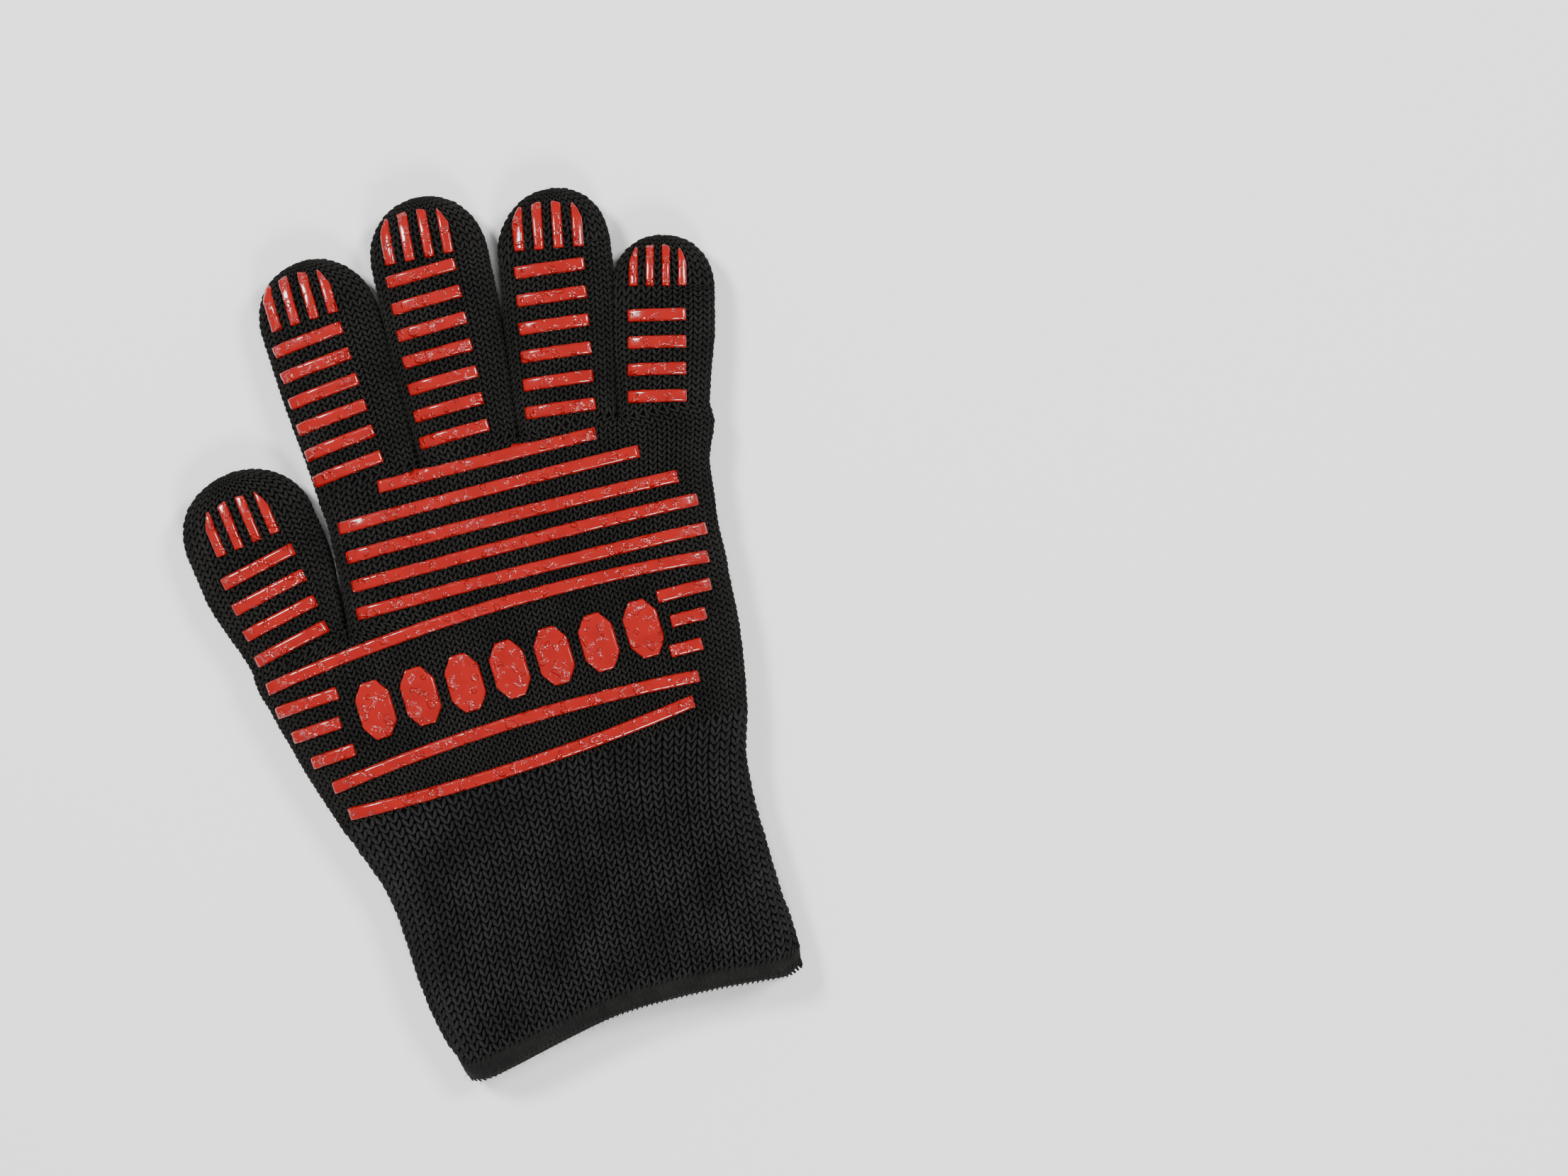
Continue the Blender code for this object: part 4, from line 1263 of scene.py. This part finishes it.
@dataclass
class Glove:
    """The whole glove."""

    wardrobe: Wardrobe
    palm: Palm = field(default_factory=Palm)
    cuff: Cuff = field(default_factory=Cuff)
    yarn: LoopStamp = field(default_factory=lambda: LoopStamp(Lay.PLAIN, 0.62))
    cuff_yarn: LoopStamp = field(default_factory=lambda: LoopStamp(Lay.PAIRED, 0.78))
    thread: LoopStamp = field(default_factory=lambda: LoopStamp(Lay.OVERLOCK, 0.42))
    fuzz: Fuzz = Fuzz()
    backing: float = 0.62             # depth of the cloth under the loops
    cloth_deep: float = 1.8
    lining_out: float = 2.3
    lining_in: float = 3.9

    def finish(self, obj: bpy.types.Object, motion: Motion, nodes: list[str], slot: str) -> None:
        """Hand a piece to its motion, hide the CAD nodes that it stands for and log it.

        Args:
            obj: the piece.
            motion: what it moves with.
            nodes: CAD nodes that it stands for.
            slot: the material slot that it would take its finish from; not used.
        """
        motion.give(obj)
        if nodes:
            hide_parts(*nodes)
        LOG.info("%s: %d triangles, %s", obj.name, len(obj.data.polygons), motion.body)

    def knit(self, name: str, cloth: Cloth, motion: Motion, nodes: list[str], closed: bool = False) -> None:
        """Make a stitched shell piece.

        Args:
            name: the piece's name.
            cloth: its tube.
            motion: what it moves with.
            nodes: CAD nodes that it stands for.
            closed: whether its last row is a fingertip.
        """
        count = cloth.points.shape[1]
        skin = wall(cloth.sunk(self.backing), cloth.sunk(self.cloth_deep), closed)
        loops = self.yarn.cover(cloth, range(count))
        hairs = self.fuzz.grow(cloth, len(name))
        yarn = self.wardrobe.knit
        # the cloth under the loops takes the near-black painted-shade material, for the shade between
        # stitches
        obj = make_piece(name, [skin, loops, hairs], self.wardrobe.shade, yarn, yarn)
        self.finish(obj, motion, nodes, "black_knit")

    def line_with_cotton(self, name: str, cloth: Cloth, motion: Motion, nodes: list[str],
                         closed: bool = False) -> None:
        """Make a smooth lining piece inside a cloth.

        Args:
            name: the piece's name.
            cloth: the tube that it lines.
            motion: what it moves with.
            nodes: CAD nodes that it stands for.
            closed: whether its last row is a fingertip.
        """
        skin = wall(cloth.sunk(self.lining_out), cloth.sunk(self.lining_in), closed)
        obj = make_piece(name, [skin], self.wardrobe.cotton)
        self.finish(obj, motion, nodes, "cotton_lining")

    def print_on(self, screen: PrintScreen, name: str, pads: list[Pad], motion: Motion, node: str) -> None:
        """Make a piece of printed pads.

        Args:
            screen: what the pads are laid on.
            name: the piece's name.
            pads: the pads.
            motion: what it moves with.
            node: the CAD node that it stands for.
        """
        obj = make_piece(name, [screen.lay(pads)], self.wardrobe.silicone)
        self.finish(obj, motion, [node], "red_silicone")

    def knit_both_sides(self, names: tuple[str, str, str], cloth: Cloth, stamp: LoopStamp, look: Look,
                        motion: Motion) -> None:
        """Make a wide tube's knit as two pieces, its palm side with the cloth behind, and its back.

        Args:
            names: the two pieces, and the CAD node that the first stands for.
            cloth: the tube.
            stamp: the loops.
            look: the yarn, the slot and the seed of the back's fibres.
            motion: what both move with.
        """
        yarn, slot, seed = look
        front_name, back_name, node = names
        count = cloth.points.shape[1]
        skin = wall(cloth.sunk(self.backing), cloth.sunk(self.cloth_deep), False)
        loops = stamp.cover(cloth, range(count // 2))
        # the cloth under the loops takes the near-black painted-shade material, for the shade between
        # stitches
        front = make_piece(front_name, [skin, loops], self.wardrobe.shade, yarn)
        self.finish(front, motion, [node], slot)
        loops = stamp.cover(cloth, range(count // 2, count))
        back = make_piece(back_name, [loops, self.fuzz.grow(cloth, seed)], yarn)
        self.finish(back, motion, [], slot)

    def build_palm(self) -> None:
        """Make the palm's knit and lining."""
        still = Motion("palm")
        heel, upper = self.palm.heel, self.palm.upper
        self.knit_both_sides(("heel_palm_knit", "heel_back_knit", "palm_shell"), heel, self.yarn,
                             (self.wardrobe.knit, "black_knit", 1), still)
        self.knit("upper_palm_knit", upper, still, [])
        self.line_with_cotton("heel_lining", heel, still, ["palm_lining"])
        self.line_with_cotton("upper_palm_lining", upper, still, [])

    def build_digit(self, digit: Digit) -> None:
        """Make one digit's knit, lining and prints.

        Args:
            digit: the digit.
        """
        cloth, places = digit.cloth(self.palm.root_ring(digit))
        screen = PrintScreen([cloth])
        zones = digit.zones()
        for name, first, last, motion in zones:
            closed = name == zones[-1][0]
            low, high = (min(range(len(places)), key=lambda j: abs(places[j] - end)) for end in (first, last))
            part = cloth.part(low, len(places) - 1 if closed else high)
            self.knit(f"{name}_knit", part, motion, [f"{name}_shell"], closed)
            self.line_with_cotton(f"{name}_cotton", part, motion, [f"{name}_lining"], closed)
            self.print_on(screen, f"{name}_bars", self.digit_pads(digit, first, last, closed), motion,
                          f"{name}_prints")

    def digit_pads(self, digit: Digit, first: float, last: float, tip: bool) -> list[Pad]:
        """Place the pads of one zone of a digit.

        Args:
            digit: the digit.
            first: where the zone starts along it.
            last: where the zone ends.
            tip: whether the zone has the bars of the fingertip.

        Returns:
            The pads.
        """
        pads = []
        for k in range(digit.bar_count):
            along = digit.first_bar + k * digit.bar_pitch
            if first <= along < last:
                x, y = digit.place(along, digit.bar_side, -digit.lean)
                pads.append(Pad(x, y, digit.bar_turn, digit.bar_long, BAR_WIDE))
        if tip:
            for k in (-1.5, -0.5, 0.5, 1.5):
                short, cut = (1.0, 6.0) if abs(k) > 1 else (0.0, 0.8)
                along = digit.length - digit.tip_bars - 0.4 * short
                x, y = digit.place(along, digit.bar_side * 0.8 + k * digit.tip_pitch, -digit.lean)
                pads.append(Pad(x, y, -digit.lean, 0.52 * digit.tip_pitch, digit.tip_long - short,
                                cut=math.copysign(cut, k)))
        return pads

    def build_palm_prints(self) -> None:
        """Make the bars and studs on the palm."""
        still = Motion("palm")
        screen = PrintScreen([self.palm.heel, self.palm.upper])
        groups = {name: [bent_bar(*points)] for name, points in PALM_BARS.items()}
        for name, (turn, bars) in SHORT_BARS.items():
            groups[name] = [Pad(x, y, turn, long, BAR_WIDE) for x, y, long in bars]
        groups["palm_studs"] = StudRow().pads()
        for name, pads in groups.items():
            self.print_on(screen, f"{name}_print", pads, still, name)

    def build_cuff(self) -> None:
        """Make the cuff's knit and lining, and the binding at its mouth."""
        cloth = self.cuff.cloth
        motion = Motion("cuff", "palm", *self.cuff.bend)
        self.knit_both_sides(("cuff_palm_knit", "cuff_back_knit", "cuff_shell"), cloth,
                             self.cuff_yarn, (self.wardrobe.cuff, "cuff_knit", 2), motion)
        self.line_with_cotton("cuff_cotton", cloth, motion, ["cuff_lining"])
        self.build_binding(cloth, motion)

    def build_binding(self, cloth: Cloth, motion: Motion) -> None:
        """Make the tape folded over the mouth, with its overlocked edges.

        Args:
            cloth: the cuff, whose first row is the mouth.
            motion: what it moves with.
        """
        edge, out = cloth.points[0], cloth.normals()[0]
        up = cloth.points[1] - edge
        up = up / np.linalg.norm(up, axis=1, keepdims=True)
        dense = doubled(np.array([edge + out * n + up * d for n, d in TAPE_FOLD]))
        roll = Cloth(dense[::-1].copy(), ruffle=0.4, seed=5.0).settle(False, False)
        skin = wall(roll.points, roll.sunk(0.5), False)
        tape = make_piece("cuff_binding_tape", [skin, Fuzz(0.9, 2.4).grow(roll, 3)], self.wardrobe.tape)
        self.finish(tape, motion, ["cuff_binding"], "binding_cloth")
        threads = []
        for depth in (4.5, -0.9):
            band = Cloth(doubled(np.array([edge + out * 0.75 + up * (depth - 1.1),
                                           edge + out * 0.85 + up * (depth + 1.1)])))
            threads.append(self.thread.cover(band, range(band.points.shape[1])))
        obj = make_piece("overlock_thread", threads, self.wardrobe.knit)
        self.finish(obj, motion, [], "binding_cloth")

    def build(self) -> None:
        """Make every piece."""
        self.palm.heel.settle(True, True)
        self.palm.upper.settle(True, True)
        self.cuff.cloth.settle(False, True)
        self.build_palm()
        self.build_cuff()
        self.build_palm_prints()
        for digit in DIGITS:
            self.build_digit(digit)


@dataclass(frozen=True)
class Studio:
    """Pale floor, soft light and the camera."""

    look_at: Point = (0.0910, -0.0141)
    across: float = 0.5249            # metres of floor that the camera takes in
    roll: float = 16.5
    lens: float = 60.0
    world: float = 0.36
    lamps: tuple[tuple[str, Place, float], ...] = (
        ("key", (-0.50, 0.72, 1.10), 22.0), ("side", (0.85, 0.25, 1.05), 15.0),
        ("low", (0.10, -0.95, 0.95), 13.0))

    def build(self) -> None:
        """Make the floor, the lights, the world and the camera."""
        mesh = bpy.data.meshes.new("floor")
        bm = bmesh.new()
        bmesh.ops.create_grid(bm, x_segments=1, y_segments=1, size=3.0)
        bm.to_mesh(mesh)
        bm.free()
        floor = bpy.data.objects.new("floor", mesh)
        bpy.context.scene.collection.objects.link(floor)
        material, shader = new_material("pale_floor")
        shader.inputs["Base Color"].default_value = (0.93, 0.93, 0.93, 1.0)
        shader.inputs["Roughness"].default_value = 0.9
        mesh.materials.append(material)
        for name, place, power in self.lamps:
            self.lamp(name, place, power)
        world = bpy.data.worlds.new("studio")
        world.use_nodes = True
        sky = world.node_tree.nodes["Background"]
        sky.inputs["Color"].default_value = (1.0, 1.0, 1.0, 1.0)
        sky.inputs["Strength"].default_value = self.world
        bpy.context.scene.world = world
        self.camera()

    def lamp(self, name: str, place: Place, power: float, size: float = 0.32) -> None:
        """Hang a square soft light aimed at the glove.

        Args:
            name: the lamp's name.
            place: where it hangs, in metres.
            power: watts.
            size: its side, in metres.
        """
        data = bpy.data.lights.new(name, "AREA")
        data.shape = "SQUARE"
        data.size = size
        data.energy = power
        obj = bpy.data.objects.new(name, data)
        obj.location = place
        obj.rotation_euler = (-Vector(place)).to_track_quat("-Z", "Y").to_euler()
        bpy.context.scene.collection.objects.link(obj)

    def camera(self) -> None:
        """Hang the camera straight above the glove, turned by the roll."""
        data = bpy.data.cameras.new("camera")
        data.lens = self.lens
        data.sensor_width = 36.0
        obj = bpy.data.objects.new("camera", data)
        height = self.across * self.lens / data.sensor_width
        obj.location = (*self.look_at, height + 0.01)
        obj.rotation_euler = (0.0, 0.0, -math.radians(self.roll))
        bpy.context.scene.collection.objects.link(obj)
        bpy.context.scene.camera = obj


def main() -> None:
    """Build the glove around the frame, and its studio."""
    logging.basicConfig(level=logging.INFO, format="%(name)s: %(message)s")
    Glove(Wardrobe()).build()
    Studio().build()


if __name__ == "__main__":
    main()
